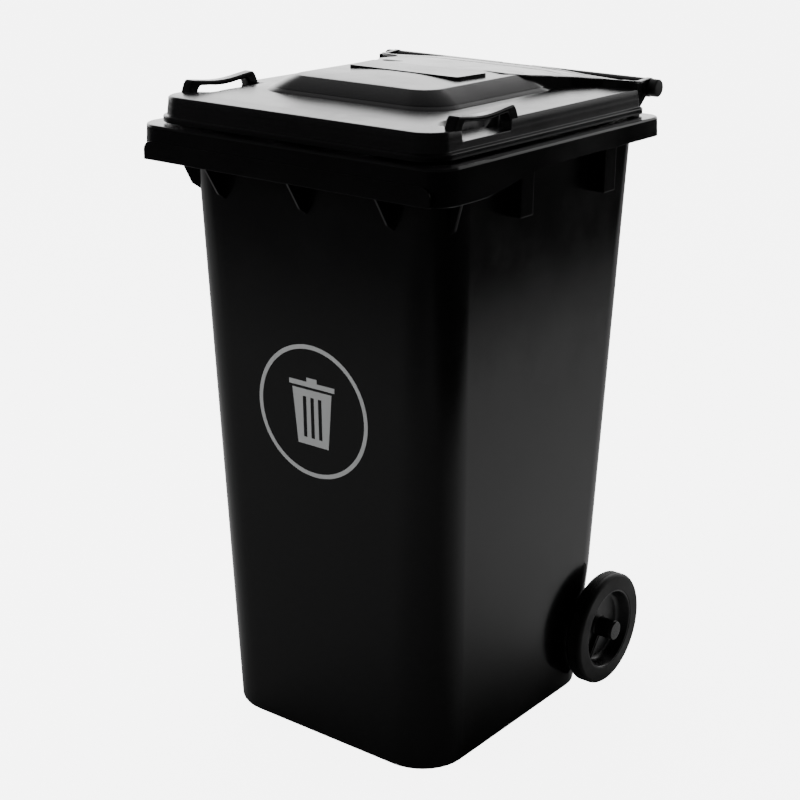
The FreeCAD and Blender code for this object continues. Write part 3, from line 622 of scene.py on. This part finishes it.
def deck_sections(inset):
    """From the lid's rounded edge up the sloping deck to the plateau's foot."""
    sections = []
    edge = DECK_EDGE_Z - inset
    for step in range(1, 5):
        angle = math.radians(90 * step / 4)
        part = LID_DRAFT + DECK_ROUND * (1 - math.cos(angle))
        half, front, back, corner, rear = lid_section(inset, part)
        sections.append((half, front, back, corner, edge - DECK_ROUND * (1 - math.sin(angle)), rear))
    rise = PLATEAU_FOOT_Z - DECK_EDGE_Z
    half, front, back, corner, rear = lid_section(inset, LID_DRAFT + DECK_ROUND)
    for step in range(1, 8):
        part = DECK_MARGIN * step / 7
        z = edge + rise * (DECK_MARGIN_RISE * step / 7)
        sections.append((half - part, front + part, back - part, corner, z, rear))
    start = sections[-1]
    foot = (PLATEAU_HALF - inset, PLATEAU_FRONT + inset, PLATEAU_BACK - inset, PLATEAU_CORNER,
            PLATEAU_FOOT_Z - inset, PLATEAU_CORNER)
    for step in range(1, 9):
        t = step / 8
        section = [mix(a, b, t) for a, b in zip(start, foot)]
        section[4] = edge + rise * mix(DECK_MARGIN_RISE, 1.0, t)
        sections.append(tuple(section))
    return sections


def plateau_at(t, z, inset=0.0):
    """A ring on the plateau's slope: t is 0 at its foot and 1 at its top edge."""
    top_half = PLATEAU_HALF - PLATEAU_SLOPE_SIDE
    return (mix(PLATEAU_HALF, top_half, t) - inset,
            mix(PLATEAU_FRONT, PLATEAU_FRONT + PLATEAU_SLOPE_FRONT, t) + inset,
            mix(PLATEAU_BACK, PLATEAU_BACK - PLATEAU_SLOPE_BACK, t) - inset,
            mix(PLATEAU_CORNER, PLATEAU_TOP_CORNER, t), z - inset)


def plateau_sections(inset):
    foot = PLATEAU_FOOT_Z
    steps = [(0.02, foot + 0.5), (0.05, foot + 1.6), (0.20, foot + 4.6), (0.225, foot + 5.2),
             (0.25, foot + 6.4), (0.60, foot + 15.6), (0.95, foot + 22.6), (0.98, foot + 23.2),
             (1.0, PLATEAU_TOP_Z + 0.2)]
    sections = [plateau_at(t, z, inset) for t, z in steps]
    sections.append(plateau_at(1.06, PLATEAU_TOP_Z + CROWN_FOOT, inset))
    half, front, back, corner = sections[-1][:4]
    for step in range(1, 13):
        t = step / 13
        crown = math.sin(t * math.pi / 2)
        z = mix(PLATEAU_TOP_Z + CROWN_FOOT, CROWN_Z, crown) - inset
        sections.append((half * (1 - t), mix(front, CROWN_CENTRE_Y, t), mix(back, CROWN_CENTRE_Y, t),
                         max(1.0, corner * (1 - t)), z))
    return sections


def carve_lid(bm, grow, tagged):
    """Set back the rear edge, and scoop out the hand pockets under the two handles."""
    front = HANDLE_FRONT + HANDLE_LEG - POCKET_LAP - grow
    back = HANDLE_FRONT + HANDLE_LENGTH - HANDLE_LEG + POCKET_LAP + grow
    inner = POCKET_INNER - grow
    middle = (front + back) / 2
    for vert in bm.verts:
        if vert.tag != tagged:
            continue
        x, y, z = vert.co
        limit = LID_RECESS_BACK - grow
        if y > limit:
            vert.co.y = y - pushed(y - limit, abs(x) - LID_RECESS_HALF - grow)
        if z < FLANGE_Z + FLANGE_THICK + 1 or abs(x) < inner:
            continue
        low = DECK_EDGE_Z - POCKET_DEPTH - grow
        floor = max(mix(DECK_EDGE_Z + 4, low + 2, (abs(x) - inner) / 9),
                    mix(low + 2, low - 2, (abs(x) - inner) / 40))
        if z > floor:
            vert.co.z = z - pushed(z - floor, abs(y - middle) - (back - front) / 2)


def loop_offset(points, distance):
    """A closed plan outline moved outwards by a distance."""
    result = []
    count = len(points)
    for i, (x, y) in enumerate(points):
        ax, ay = points[i - 1]
        bx, by = points[(i + 1) % count]
        along = Vector((bx - ax, by - ay)).normalized()
        result.append((x + along.y * distance, y - along.x * distance))
    return result


def soften_loop(points, radius, steps=5):
    """Round every corner of a closed plan outline."""
    result = []
    count = len(points)
    for i, point in enumerate(points):
        here = Vector(point)
        before = Vector(points[i - 1]) - here
        after = Vector(points[(i + 1) % count]) - here
        reach = min(radius, before.length * 0.48, after.length * 0.48)
        a = here + before.normalized() * reach
        b = here + after.normalized() * reach
        for s in range(steps + 1):
            t = s / steps
            result.append(tuple(a.lerp(here, t).lerp(here.lerp(b, t), t)))
    return result


def wing_height(x, y):
    """Height of the raised back: it falls from the plateau to the hinge line."""
    t = (y - WING_START) / WING_LENGTH
    middle = mix(WING_MIDDLE_FRONT_Z, WING_MIDDLE_BACK_Z, smooth_step(t) * 0.6 + t * 0.4)
    side = mix(WING_SIDE_FRONT_Z, WING_SIDE_BACK_Z, t)
    return mix(middle, side, smooth_step((abs(x) - WING_BLEND_START) / WING_BLEND_LENGTH))


def add_raised_back(bm):
    """The raised rear of the lid, which spreads out to the hinge ears."""
    half = FLANGE_HALF - SKIRT_INSET - LID_DRAFT
    rear = HINGE_Y - GRIP_RADIUS - 5
    right = [(LID_RECESS_HALF, LID_RECESS_BACK), (LID_RECESS_HALF, NOTCH_FRONT),
             (NOTCH_OUTER, NOTCH_FRONT), (NOTCH_OUTER, rear), (half, rear), (half, 240),
             (half - 10, 231), (LID_RECESS_HALF, 223), (204, 213), (176, 172), (166, 140),
             (150, 88), (120, WING_START)]
    plan = right + [(-x, y) for x, y in reversed(right)]
    loop = soften_loop(plan, WING_ROUND, 4)
    # Each step: how far outside the plan, then a height, or 0 and a depth below the top.
    profile = [(8.5, 1041.0, 0.0), (7.0, 1046.0, 0.0), (5.5, 1050.0, 0.0), (0.0, 0.0, 4.0),
               (-1.2, 0.0, 1.2), (-4.0, 0.0, 0.0)]
    previous = None
    for offset, z, below_top in profile:
        ring = []
        kept = 0.0 if offset > 0 else WING_REAR_SHARE
        for plain, moved in zip(loop, loop_offset(loop, -offset)):
            rearward = smooth_step((plain[1] - WING_REAR_START) / WING_REAR_LENGTH)
            spread = mix(1.0, kept, rearward)
            x = mix(plain[0], moved[0], spread)
            y = mix(plain[1], moved[1], spread)
            height = z if z else wing_height(x, y) - below_top
            if y > rear - 8 and z:
                height = max(height, HINGE_Z + WING_EAR_HEIGHT)
            ring.append(bm.verts.new((x, y, height)))
        if previous:
            for i in range(len(ring)):
                j = (i + 1) % len(ring)
                bm.faces.new((previous[i], previous[j], ring[j], ring[i]))
        else:
            bm.faces.new(list(reversed(ring)))
        previous = ring
    top = bm.faces.new(previous)
    made = bmesh.ops.triangulate(bm, faces=[top])
    edges = {e for f in made["faces"] for e in f.edges if e.calc_length() > WING_LONGEST_EDGE}
    made = bmesh.ops.subdivide_edges(bm, edges=list(edges), cuts=6, use_grid_fill=True)
    for item in made["geom"]:
        if isinstance(item, bmesh.types.BMVert):
            item.co.z = wing_height(item.co.x, item.co.y)


def add_lid_handle(bm, sign):
    top = HANDLE_TOP
    front = HANDLE_FRONT
    back = HANDLE_FRONT + HANDLE_LENGTH
    base = DECK_EDGE_Z - 12
    leg = HANDLE_LEG
    outside = [(front - 7, base), (front - 4, base + 10), (front + 2, top - 6), (front + 7, top)]
    for step in range(1, 8):
        t = step / 8
        outside.append((mix(front + 12, back - 12, t), top - HANDLE_DIP * math.sin(t * math.pi)))
    outside += [(back - 6, top), (back - 1, top - 6), (back + 6, base + 10), (back + 9, base)]
    inside = [(back - leg + 6, base), (back - leg, top - HANDLE_STRAP - 6),
              (back - leg - 5, top - HANDLE_STRAP - 1)]
    for step in range(1, 6):
        t = step / 6
        inside.append((mix(back - leg - 10, front + leg + 10, t),
                       top - HANDLE_STRAP - (HANDLE_DIP - 1) * math.sin(t * math.pi)))
    inside += [(front + leg + 5, top - HANDLE_STRAP - 1), (front + leg, top - HANDLE_STRAP - 6),
               (front + leg - 5, base)]
    outer = FLANGE_HALF - SKIRT_INSET - 2
    low, high = sorted((sign * (outer - HANDLE_WIDTH), sign * outer))
    add_plate(bm, outside + inside, "X", low, high, 2.6, 3)


def add_ear(bm, sign):
    """The hinge ear: a round boss on a web that runs forwards to the raised back."""
    loop = []
    for step in range(17):
        angle = math.radians(100 - 200 * step / 16)
        loop.append((HINGE_Y + EAR_RADIUS * math.cos(angle), HINGE_Z + EAR_RADIUS * math.sin(angle)))
    foot_z = FLANGE_Z + EAR_FOOT_LIFT
    front_y = HINGE_Y - EAR_WEB_FRONT
    loop += [(HINGE_Y - EAR_HEEL, HINGE_Z - EAR_HEEL), (HINGE_Y - EAR_WEB_FOOT, foot_z),
             (front_y, foot_z), (front_y, HINGE_Z + 12)]
    low, high = sorted((sign * EAR_X, sign * (EAR_X + EAR_THICK)))
    add_plate(bm, loop, "X", low, high, 1.5)


def add_lid_panel(bm):
    """A low flat panel raised on the plateau's crown."""
    loop = soften_loop([(-PANEL_HALF, PANEL_FRONT), (PANEL_HALF, PANEL_FRONT),
                        (PANEL_HALF + 6, PANEL_BACK), (-PANEL_HALF - 6, PANEL_BACK)], 8.0)
    add_plate(bm, loop, "Z", PLATEAU_TOP_Z - 2, PANEL_TOP, 1.4, 3)


def build_lid(material):
    bm = bmesh.new()
    back_xs = [205.0, 180.0, 150.0, 100.0, 50.0]
    back_xs = back_xs + [0.0] + [-x for x in reversed(back_xs)]
    front_line = HANDLE_FRONT + HANDLE_LEG - POCKET_LAP
    back_line = HANDLE_FRONT + HANDLE_LENGTH - HANDLE_LEG + POCKET_LAP
    near = recess_lines(0.0)
    ys = [front_line - d for d in near] + evenly(front_line + 12, back_line - 12, 6)
    ys += [back_line + d for d in reversed(near)] + evenly(back_line + 16, 176, 18)
    plan = Plan(12, 25, ys, (-252.0, 184.0), back_xs, 206.0)

    inner = list(reversed(plateau_sections(LID_WALL)))
    inner += list(reversed(deck_sections(LID_WALL)))
    half, front, back, corner, rear = lid_section(LID_WALL, 0.0)
    inner.append((half, front, back, corner, FLANGE_Z + 18, rear))
    inner.append((half, front, back, corner, FLANGE_Z + 1, rear))
    outer = [(half + 1, front - 1, back + 1, corner, FLANGE_Z, rear)]
    reach = [(1.2, 0.0), (0.3, 0.5), (0.0, 1.6), (0.0, FLANGE_THICK - 2.0), (0.7, FLANGE_THICK - 0.6),
             (2.0, FLANGE_THICK)]
    for inset, rise in reach:
        outer.append((FLANGE_HALF - inset, FLANGE_FRONT + inset, FLANGE_BACK - inset,
                      FLANGE_CORNER - inset, FLANGE_Z + rise, FLANGE_BACK_CORNER - inset))
    for part, rise in ((-1.6, 0.0), (-0.4, 0.6), (0.0, 1.8), (0.5, 10.0), (0.9, 14.0), (1.3, 18.5)):
        half, front, back, corner, rear = lid_section(0.0, part)
        outer.append((half, front, back, corner, FLANGE_Z + FLANGE_THICK + rise, rear))
    outer += deck_sections(0.0) + plateau_sections(0.0)
    rings = rings_through(bm, plan, inner + outer)
    for index, ring in enumerate(rings):
        for vert in ring:
            vert.tag = index >= len(inner)
    # The crown falls away towards the plateau's sides.
    crown_low = PLATEAU_TOP_Z + 0.7
    for vert in bm.verts:
        if vert.co.z > crown_low:
            fall = min(1.0, abs(vert.co.x) / (PLATEAU_HALF - PLATEAU_SLOPE_SIDE)) ** 3
            vert.co.z = mix(vert.co.z, crown_low, fall)
    cap(bm, list(reversed(rings[0])))
    cap(bm, rings[-1])
    carve_lid(bm, 0.0, True)
    carve_lid(bm, LID_WALL, False)
    bmesh.ops.recalc_face_normals(bm, faces=bm.faces)
    add_raised_back(bm)
    add_lid_panel(bm)
    for sign in (-1, 1):
        add_lid_handle(bm, sign)
        add_ear(bm, sign)
    finish_piece(bm, "lid_shell", "lid_assembly", material, "lid")


# ---- Turned pieces -------------------------------------------------------------------------------

def build_turned(name, profile, sign, y, z, body, material, node, radius=0.8, steps=96):
    bm = bmesh.new()
    add_turned(bm, rounded_profile(profile, radius), sign, y, z, steps)
    finish_piece(bm, name, body, material, node, 35.0)


def build_wheel_disc(sign, name, material):
    bm = bmesh.new()
    bore = AXLE_RADIUS + 0.08
    profile = [(WHEEL_INNER, bore), (WHEEL_INNER, HUB_RADIUS), (WEB_BACK, HUB_RADIUS, 3),
               (WEB_BACK, DISH_FLOOR, 3), (WHEEL_INNER + 2, TYRE_INNER - 6),
               (WHEEL_INNER + 2, TYRE_INNER, 0.3), (WHEEL_OUTER - 1, TYRE_INNER, 0.6),
               (WHEEL_OUTER - 1, DISH_MOUTH + 1, 1.0), (WHEEL_OUTER - 3, DISH_MOUTH, 1.0),
               (WEB_FRONT, DISH_FLOOR, 6.0), (WEB_FRONT, HUB_RADIUS, 4.0),
               (HUB_END, HUB_RADIUS, 1.2), (HUB_END, bore)]
    profile.append(profile[0])
    add_turned(bm, rounded_profile(profile, 0.8), sign, AXLE_Y, AXLE_Z, 96)
    turn = math.radians(RIB_ANGLE)
    for side in (-RIB_SPACING / 2, RIB_SPACING / 2):
        points = []
        near, far = side - RIB_THICK / 2, side + RIB_THICK / 2
        for along, across in ((HUB_RADIUS - 1, near), (DISH_FLOOR + 3, near),
                              (DISH_FLOOR + 3, far), (HUB_RADIUS - 1, far)):
            dy = along * math.cos(turn) - across * math.sin(turn)
            dz = along * math.sin(turn) + across * math.cos(turn)
            points.append((AXLE_Y + dy, AXLE_Z + dz))
        low, high = sorted((sign * (WEB_FRONT - 1), sign * (WEB_FRONT + RIB_HEIGHT)))
        add_plate(bm, points, "X", low, high, 0.6)
    finish_piece(bm, name, "wheel_" + side_name(sign), material,
                        "wheel_disc_" + side_name(sign), 35.0)


def side_name(sign):
    return "right" if sign > 0 else "left"


def tyre_profile():
    profile = [(WHEEL_INNER + 2, TYRE_INNER, 0.4), (WHEEL_INNER, TYRE_INNER + 4, 1.5),
               (WHEEL_INNER, WHEEL_RADIUS - 10, 3.0), (WHEEL_INNER + 4, WHEEL_RADIUS - 4, 3.0),
               (TREAD_START - 1, WHEEL_RADIUS, 1.0)]
    groove_floor = WHEEL_RADIUS - TREAD_DEPTH
    for step in range(TREAD_GROOVES):
        x = TREAD_START + TREAD_PITCH * step
        far = x + TREAD_WIDTH
        profile += [(x, WHEEL_RADIUS, 0.3), (x + 0.2, groove_floor, 0.3),
                    (far - 0.2, groove_floor, 0.3), (far, WHEEL_RADIUS, 0.3)]
    profile += [(WHEEL_OUTER - 4, WHEEL_RADIUS, 2.5), (WHEEL_OUTER, WHEEL_RADIUS - 4, 2.5),
                (WHEEL_OUTER, TYRE_LIP + 1, 0.6), (WHEEL_OUTER - 0.9, TYRE_LIP, 0.3),
                (WHEEL_OUTER - 0.9, TYRE_INNER, 0.3)]
    profile.append(profile[0])
    return profile


# ---- Finishes ------------------------------------------------------------------------------------

def group_with(name, inputs, outputs):
    """An empty node group with named inputs (name, default) and outputs."""
    tree = bpy.data.node_groups.new(name, "ShaderNodeTree")
    for label, default in inputs:
        socket = tree.interface.new_socket(name=label, in_out="INPUT", socket_type="NodeSocketFloat")
        socket.default_value = default
    for label in outputs:
        tree.interface.new_socket(name=label, in_out="OUTPUT", socket_type="NodeSocketFloat")
    return tree, tree.nodes.new("NodeGroupInput"), tree.nodes.new("NodeGroupOutput")


def value_node(tree, operation, a, b=0.0):
    """A Math node; a and b are sockets or plain numbers."""
    node = tree.nodes.new("ShaderNodeMath")
    node.operation = operation
    for index, item in enumerate((a, b)):
        if isinstance(item, (int, float)):
            node.inputs[index].default_value = item
        else:
            tree.links.new(item, node.inputs[index])
    return node.outputs[0]


def range_node(tree, value, low, high, to_low, to_high):
    node = tree.nodes.new("ShaderNodeMapRange")
    tree.links.new(value, node.inputs["Value"])
    limits = {"From Min": low, "From Max": high, "To Min": to_low, "To Max": to_high}
    for label, number in limits.items():
        node.inputs[label].default_value = number
    return node.outputs["Result"]


def noise_node(tree, vector, scale, detail=3.0, rough=0.5):
    node = tree.nodes.new("ShaderNodeTexNoise")
    node.inputs["Detail"].default_value = detail
    node.inputs["Roughness"].default_value = rough
    if isinstance(scale, (int, float)):
        node.inputs["Scale"].default_value = scale
    else:
        tree.links.new(scale, node.inputs["Scale"])
    tree.links.new(vector, node.inputs["Vector"])
    return node.outputs[0]


def make_moulded_group():
    """Moulded plastic: fine grain, slow waves from cooling, and dull smudges."""
    tree, start, end = group_with("moulded skin", [("Grain Scale", 900.0), ("Wave Scale", 6.0)],
                                  ["Height", "Smudge", "Tone"])
    place = tree.nodes.new("ShaderNodeTexCoord").outputs["Object"]
    grain = noise_node(tree, place, start.outputs["Grain Scale"], 2.0, 0.6)
    wave = noise_node(tree, place, start.outputs["Wave Scale"], 1.0, 0.4)
    blotch = noise_node(tree, place, 9.0, 5.0, 0.62)
    cloud = noise_node(tree, place, 2.2, 3.0, 0.5)
    height = value_node(tree, "ADD", value_node(tree, "MULTIPLY", grain, 0.012),
                        value_node(tree, "MULTIPLY", wave, 1.0))
    tree.links.new(height, end.inputs["Height"])
    tree.links.new(range_node(tree, blotch, 0.42, 0.68, 0.0, 1.0), end.inputs["Smudge"])
    tree.links.new(range_node(tree, cloud, 0.3, 0.7, 0.0, 1.0), end.inputs["Tone"])
    return tree


def make_scuff_group():
    """Long fine scratches and rubbed patches."""
    tree, start, end = group_with("scuffs", [("Amount", 0.5)], ["Scuff"])
    place = tree.nodes.new("ShaderNodeTexCoord").outputs["Object"]
    stretch = tree.nodes.new("ShaderNodeMapping")
    stretch.inputs["Scale"].default_value = (30.0, 34.0, 420.0)
    stretch.inputs["Rotation"].default_value = (0.24, 0.31, 0.1)
    tree.links.new(place, stretch.inputs["Vector"])
    lines = noise_node(tree, stretch.outputs["Vector"], 1.0, 2.0, 0.5)
    mask = noise_node(tree, place, 5.0, 2.0, 0.5)
    sharp = range_node(tree, lines, 0.62, 0.72, 0.0, 1.0)
    zone = range_node(tree, mask, 0.5, 0.7, 0.0, 1.0)
    both = value_node(tree, "MULTIPLY", sharp, zone)
    tree.links.new(value_node(tree, "MULTIPLY", both, start.outputs["Amount"]), end.inputs["Scuff"])
    return tree


MOULDED = make_moulded_group()
SCUFFS = make_scuff_group()


def colour_mix(tree, factor, low, high):
    node = tree.nodes.new("ShaderNodeMix")
    node.data_type = "RGBA"
    tree.links.new(factor, node.inputs["Factor"])
    node.inputs["A"].default_value = (*low, 1.0)
    node.inputs["B"].default_value = (*high, 1.0)
    return node.outputs["Result"]


def finish_material(name, dark, light, rough, dull, grain=900.0, wave=6.0, bump=0.15,
                    bump_depth=0.0015, metallic=0.0, scuff=0.3, coat=0.0):
    """A worn surface: colour drifts from dark to light, and roughness from rough to dull."""
    material = bpy.data.materials.new(name)
    material.use_nodes = True
    tree = material.node_tree
    shader = tree.nodes["Principled BSDF"]
    skin = tree.nodes.new("ShaderNodeGroup")
    skin.node_tree = MOULDED
    skin.inputs["Grain Scale"].default_value = grain
    skin.inputs["Wave Scale"].default_value = wave
    marks = tree.nodes.new("ShaderNodeGroup")
    marks.node_tree = SCUFFS
    marks.inputs["Amount"].default_value = scuff
    tree.links.new(colour_mix(tree, skin.outputs["Tone"], dark, light), shader.inputs["Base Color"])
    worn = value_node(tree, "MAXIMUM", skin.outputs["Smudge"], marks.outputs["Scuff"])
    tree.links.new(range_node(tree, worn, 0.0, 1.0, rough, dull), shader.inputs["Roughness"])
    shader.inputs["Metallic"].default_value = metallic
    shader.inputs["Coat Weight"].default_value = coat
    relief = tree.nodes.new("ShaderNodeBump")
    relief.inputs["Strength"].default_value = bump
    relief.inputs["Distance"].default_value = bump_depth
    tree.links.new(skin.outputs["Height"], relief.inputs["Height"])
    tree.links.new(relief.outputs["Normal"], shader.inputs["Normal"])
    return material


BIN_PLASTIC = finish_material("black polyethylene", (0.003, 0.003, 0.0032), (0.005, 0.005, 0.0053),
                              0.14, 0.22)
LID_PLASTIC = finish_material("black polyethylene lid", (0.004, 0.004, 0.0042),
                              (0.007, 0.007, 0.0075), 0.2, 0.27, bump=0.12)
PIN_PLASTIC = finish_material("pin nylon", (0.012, 0.012, 0.012), (0.02, 0.02, 0.02), 0.32, 0.45)
WHEEL_PLASTIC = finish_material("wheel polypropylene", (0.006, 0.006, 0.0065),
                                (0.011, 0.011, 0.0115), 0.26, 0.38)
CAP_PLASTIC = finish_material("hub cap plastic", (0.014, 0.014, 0.0145), (0.022, 0.022, 0.0225),
                              0.24, 0.34)
TYRE_RUBBER = finish_material("tyre rubber", (0.006, 0.006, 0.0062), (0.016, 0.0155, 0.015),
                              0.55, 0.72, grain=1400.0, bump=0.3, scuff=0.8)
AXLE_STEEL = finish_material("zinc plated bar", (0.42, 0.43, 0.44), (0.55, 0.56, 0.57), 0.28, 0.42,
                             metallic=1.0, bump=0.05)
WASHER_STEEL = finish_material("zinc plated sheet", (0.44, 0.45, 0.46), (0.58, 0.59, 0.6), 0.25, 0.4,
                               metallic=1.0, bump=0.05)
LOCK_STEEL = finish_material("hardened pin steel", (0.3, 0.3, 0.31), (0.42, 0.42, 0.43), 0.22, 0.34,
                             metallic=1.0, bump=0.04)
SPRING_STEEL = finish_material("spring wire", (0.34, 0.34, 0.35), (0.48, 0.47, 0.46), 0.24, 0.38,
                               metallic=1.0, bump=0.04)
PRINT_FILM = finish_material("pale foil print", (0.5, 0.51, 0.51), (0.6, 0.61, 0.61), 0.3, 0.5,
                             grain=500.0, bump=0.06, scuff=0.9)


# ---- Pieces --------------------------------------------------------------------------------------

# Camera first, so that the view holds while the rest is made.
cam_data = bpy.data.cameras.new("camera")
cam_data.lens = 76.62
cam_data.sensor_width = 36.0
cam_data.clip_end = 50.0
cam = bpy.data.objects.new("camera", cam_data)
bpy.context.scene.collection.objects.link(cam)
cam_right = Vector((0.7935, 0.6084, 0.0116)).normalized()
cam_back = Vector((0.5725, -0.7528, 0.3249)).normalized()
cam_up = cam_back.cross(cam_right).normalized()
turn = Matrix((cam_right, cam_up, cam_back)).transposed().to_4x4()
cam.matrix_world = Matrix.Translation((1.60894, -2.15147, 1.45398)) @ turn
bpy.context.scene.camera = cam

build_body(BIN_PLASTIC)
build_lid(LID_PLASTIC)

axle_profile = [(-AXLE_END, 0.0), (-AXLE_END, AXLE_RADIUS, 1.5), (AXLE_END, AXLE_RADIUS, 1.5),
                (AXLE_END, 0.0)]
build_turned("axle_bar", axle_profile, 1, AXLE_Y, AXLE_Z, "container", AXLE_STEEL,
             "axle")
for sign in (-1, 1):
    name = side_name(sign)
    pin_tip = EAR_X + EAR_THICK - PIN_LENGTH
    pin_start = EAR_X + EAR_THICK + PIN_HEAD_GAP
    pin_end = pin_start + PIN_HEAD_LENGTH
    pin_profile = [(pin_tip, 0.0), (pin_tip, PIN_RADIUS, 1.5),
                   (pin_start, PIN_RADIUS, 0.3), (pin_start, PIN_HEAD_RADIUS, 0.8),
                   (pin_end, PIN_HEAD_RADIUS, 2.5), (pin_end, 0.0)]
    build_turned("pivot_" + name, pin_profile, sign, HINGE_Y, HINGE_Z, "container",
                 PIN_PLASTIC, "hinge_pin_" + name, steps=64)
    build_wheel_disc(sign, "wheel_face_" + name, WHEEL_PLASTIC)
    build_turned("tread_" + name, tyre_profile(), sign, AXLE_Y, AXLE_Z, "wheel_" + name,
                 TYRE_RUBBER, "tyre_" + name, steps=128)
    cap_profile = [(HUB_END - 3, 0.0), (HUB_END - 3, AXLE_RADIUS, 0.5), (HUB_END, AXLE_RADIUS, 0.3),
                   (HUB_END, HUB_RADIUS - 0.5, 0.6), (HUB_END + CAP_THICK, HUB_RADIUS - 0.5, 1.4),
                   (HUB_END + CAP_THICK, 0.0)]
    build_turned("end_cap_" + name, cap_profile, sign, AXLE_Y, AXLE_Z, "wheel_" + name,
                 CAP_PLASTIC, "hub_cap_" + name, steps=64)
    washer_profile = [(WASHER_START, AXLE_RADIUS), (WASHER_START, WASHER_RADIUS, 0.4),
                      (WASHER_END, WASHER_RADIUS, 0.4), (WASHER_END, AXLE_RADIUS),
                      (WASHER_START, AXLE_RADIUS)]
    build_turned("spacer_" + name, washer_profile, sign, AXLE_Y, AXLE_Z, "container",
                 WASHER_STEEL, "washer_" + name, 0.3, 64)

shown_nodes = [("print_ring", PRINT_FILM), ("print_bin", PRINT_FILM)]
for name in ("left", "right"):
    shown_nodes += [("lock_pin_" + name, LOCK_STEEL), ("lock_spring_" + name, SPRING_STEEL),
                    ("lock_plug_" + name, WHEEL_PLASTIC)]
for node, material in shown_nodes:
    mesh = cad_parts[node].data
    mesh.materials.clear()
    mesh.materials.append(material)


# ---- Room and light ------------------------------------------------------------------------------

# The side towards which the floor's painted reflection shade darkens.
REFLECTION_SHADE_SIDE = (0.2, -0.98, 0.0)
BRIGHT_SIDE = (-0.6, 0.8, 0.0)
FLOOR_GLOW = 6.0
BACKDROP_GLOW = 7.5


def build_floor():
    bm = bmesh.new()
    bmesh.ops.create_grid(bm, x_segments=4, y_segments=4, size=20.0)
    mesh = bpy.data.meshes.new("floor")
    bm.to_mesh(mesh)
    bm.free()
    floor = bpy.data.objects.new("floor", mesh)
    floor.location = (0, 0, -0.0005)
    bpy.context.scene.collection.objects.link(floor)
    material = bpy.data.materials.new("pale floor")
    material.use_nodes = True
    tree = material.node_tree
    shader = tree.nodes["Principled BSDF"]
    shader.inputs["Roughness"].default_value = 0.9
    shader.inputs["Specular IOR Level"].default_value = 0.0
    place = tree.nodes.new("ShaderNodeTexCoord").outputs["Object"]
    # Painted reflection: for glossy rays only, the floor is painted darker towards the front and past
    # its right edge, so the bin's glossy walls mirror painted shade. Camera and diffuse rays see a
    # plain pale floor.
    near = darkness_towards(tree, place, REFLECTION_SHADE_SIDE, -0.7, 0.6, 1.0, 0.24)
    reach = tree.nodes.new("ShaderNodeSeparateXYZ")
    tree.links.new(place, reach.inputs["Vector"])
    fade_right = range_node(tree, reach.outputs["X"], 1.3, 1.75, 1.0, 0.05)
    fade_front = range_node(tree, reach.outputs["Y"], -2.3, -1.5, 0.2, 1.0)
    fade = value_node(tree, "MULTIPLY", fade_right, fade_front)
    path = tree.nodes.new("ShaderNodeLightPath")
    shade = tree.nodes.new("ShaderNodeMix")
    shade.data_type = "FLOAT"
    tree.links.new(path.outputs["Is Glossy Ray"], shade.inputs["Factor"])
    shade.inputs["A"].default_value = 0.85
    tree.links.new(value_node(tree, "MULTIPLY", near, fade), shade.inputs["B"])
    tint = tree.nodes.new("ShaderNodeCombineColor")
    for label in ("Red", "Green", "Blue"):
        tree.links.new(shade.outputs["Result"], tint.inputs[label])
    tree.links.new(tint.outputs["Color"], shader.inputs["Base Color"])
    shader.inputs["Emission Color"].default_value = (1.0, 1.0, 1.0, 1.0)
    tree.links.new(value_node(tree, "MULTIPLY", path.outputs["Is Camera Ray"], FLOOR_GLOW),
                   shader.inputs["Emission Strength"])
    mesh.materials.append(material)


def darkness_towards(tree, vector, side, start, end, light, dark):
    """Bright all round, falling off towards one side."""
    level = tree.nodes.new("ShaderNodeVectorMath")
    level.operation = "NORMALIZE"
    tree.links.new(vector, level.inputs[0])
    dot = tree.nodes.new("ShaderNodeVectorMath")
    dot.operation = "DOT_PRODUCT"
    dot.inputs[1].default_value = side
    tree.links.new(level.outputs["Vector"], dot.inputs[0])
    return range_node(tree, dot.outputs["Value"], start, end, light, dark)


def build_world():
    world = bpy.data.worlds.new("studio")
    bpy.context.scene.world = world
    world.use_nodes = True
    tree = world.node_tree
    back = tree.nodes["Background"]
    back.inputs["Color"].default_value = (1.0, 1.0, 1.0, 1.0)
    direction = tree.nodes.new("ShaderNodeTexCoord").outputs["Generated"]
    sweep = darkness_towards(tree, direction, BRIGHT_SIDE, 0.15, 0.8, 0.06, 3.6)
    height = tree.nodes.new("ShaderNodeSeparateXYZ")
    tree.links.new(direction, height.inputs[0])
    glow = value_node(tree, "MULTIPLY", sweep,
                      range_node(tree, height.outputs["Z"], 0.33, 0.52, 1.0, 0.12))
    path = tree.nodes.new("ShaderNodeLightPath")
    seen = tree.nodes.new("ShaderNodeMix")
    seen.data_type = "FLOAT"
    tree.links.new(path.outputs["Is Camera Ray"], seen.inputs["Factor"])
    tree.links.new(glow, seen.inputs["A"])
    seen.inputs["B"].default_value = BACKDROP_GLOW
    tree.links.new(seen.outputs["Result"], back.inputs["Strength"])


def soft_light(name, place, aim, size, power):
    data = bpy.data.lights.new(name, "AREA")
    data.shape = "RECTANGLE"
    data.size, data.size_y = size
    data.energy = power
    light = bpy.data.objects.new(name, data)
    light.location = place
    light.visible_glossy = False
    light.rotation_euler = (Vector(aim) - Vector(place)).to_track_quat("-Z", "Y").to_euler()
    bpy.context.scene.collection.objects.link(light)


build_floor()
build_world()
soft_light("overhead softbox", (-0.7, 0.5, 3.2), (0, 0, 0.5), (2.2, 1.8), 36.0)
soft_light("front fill", (-1.6, -3.2, 2.2), (0, 0, 0.5), (1.6, 1.6), 45.0)
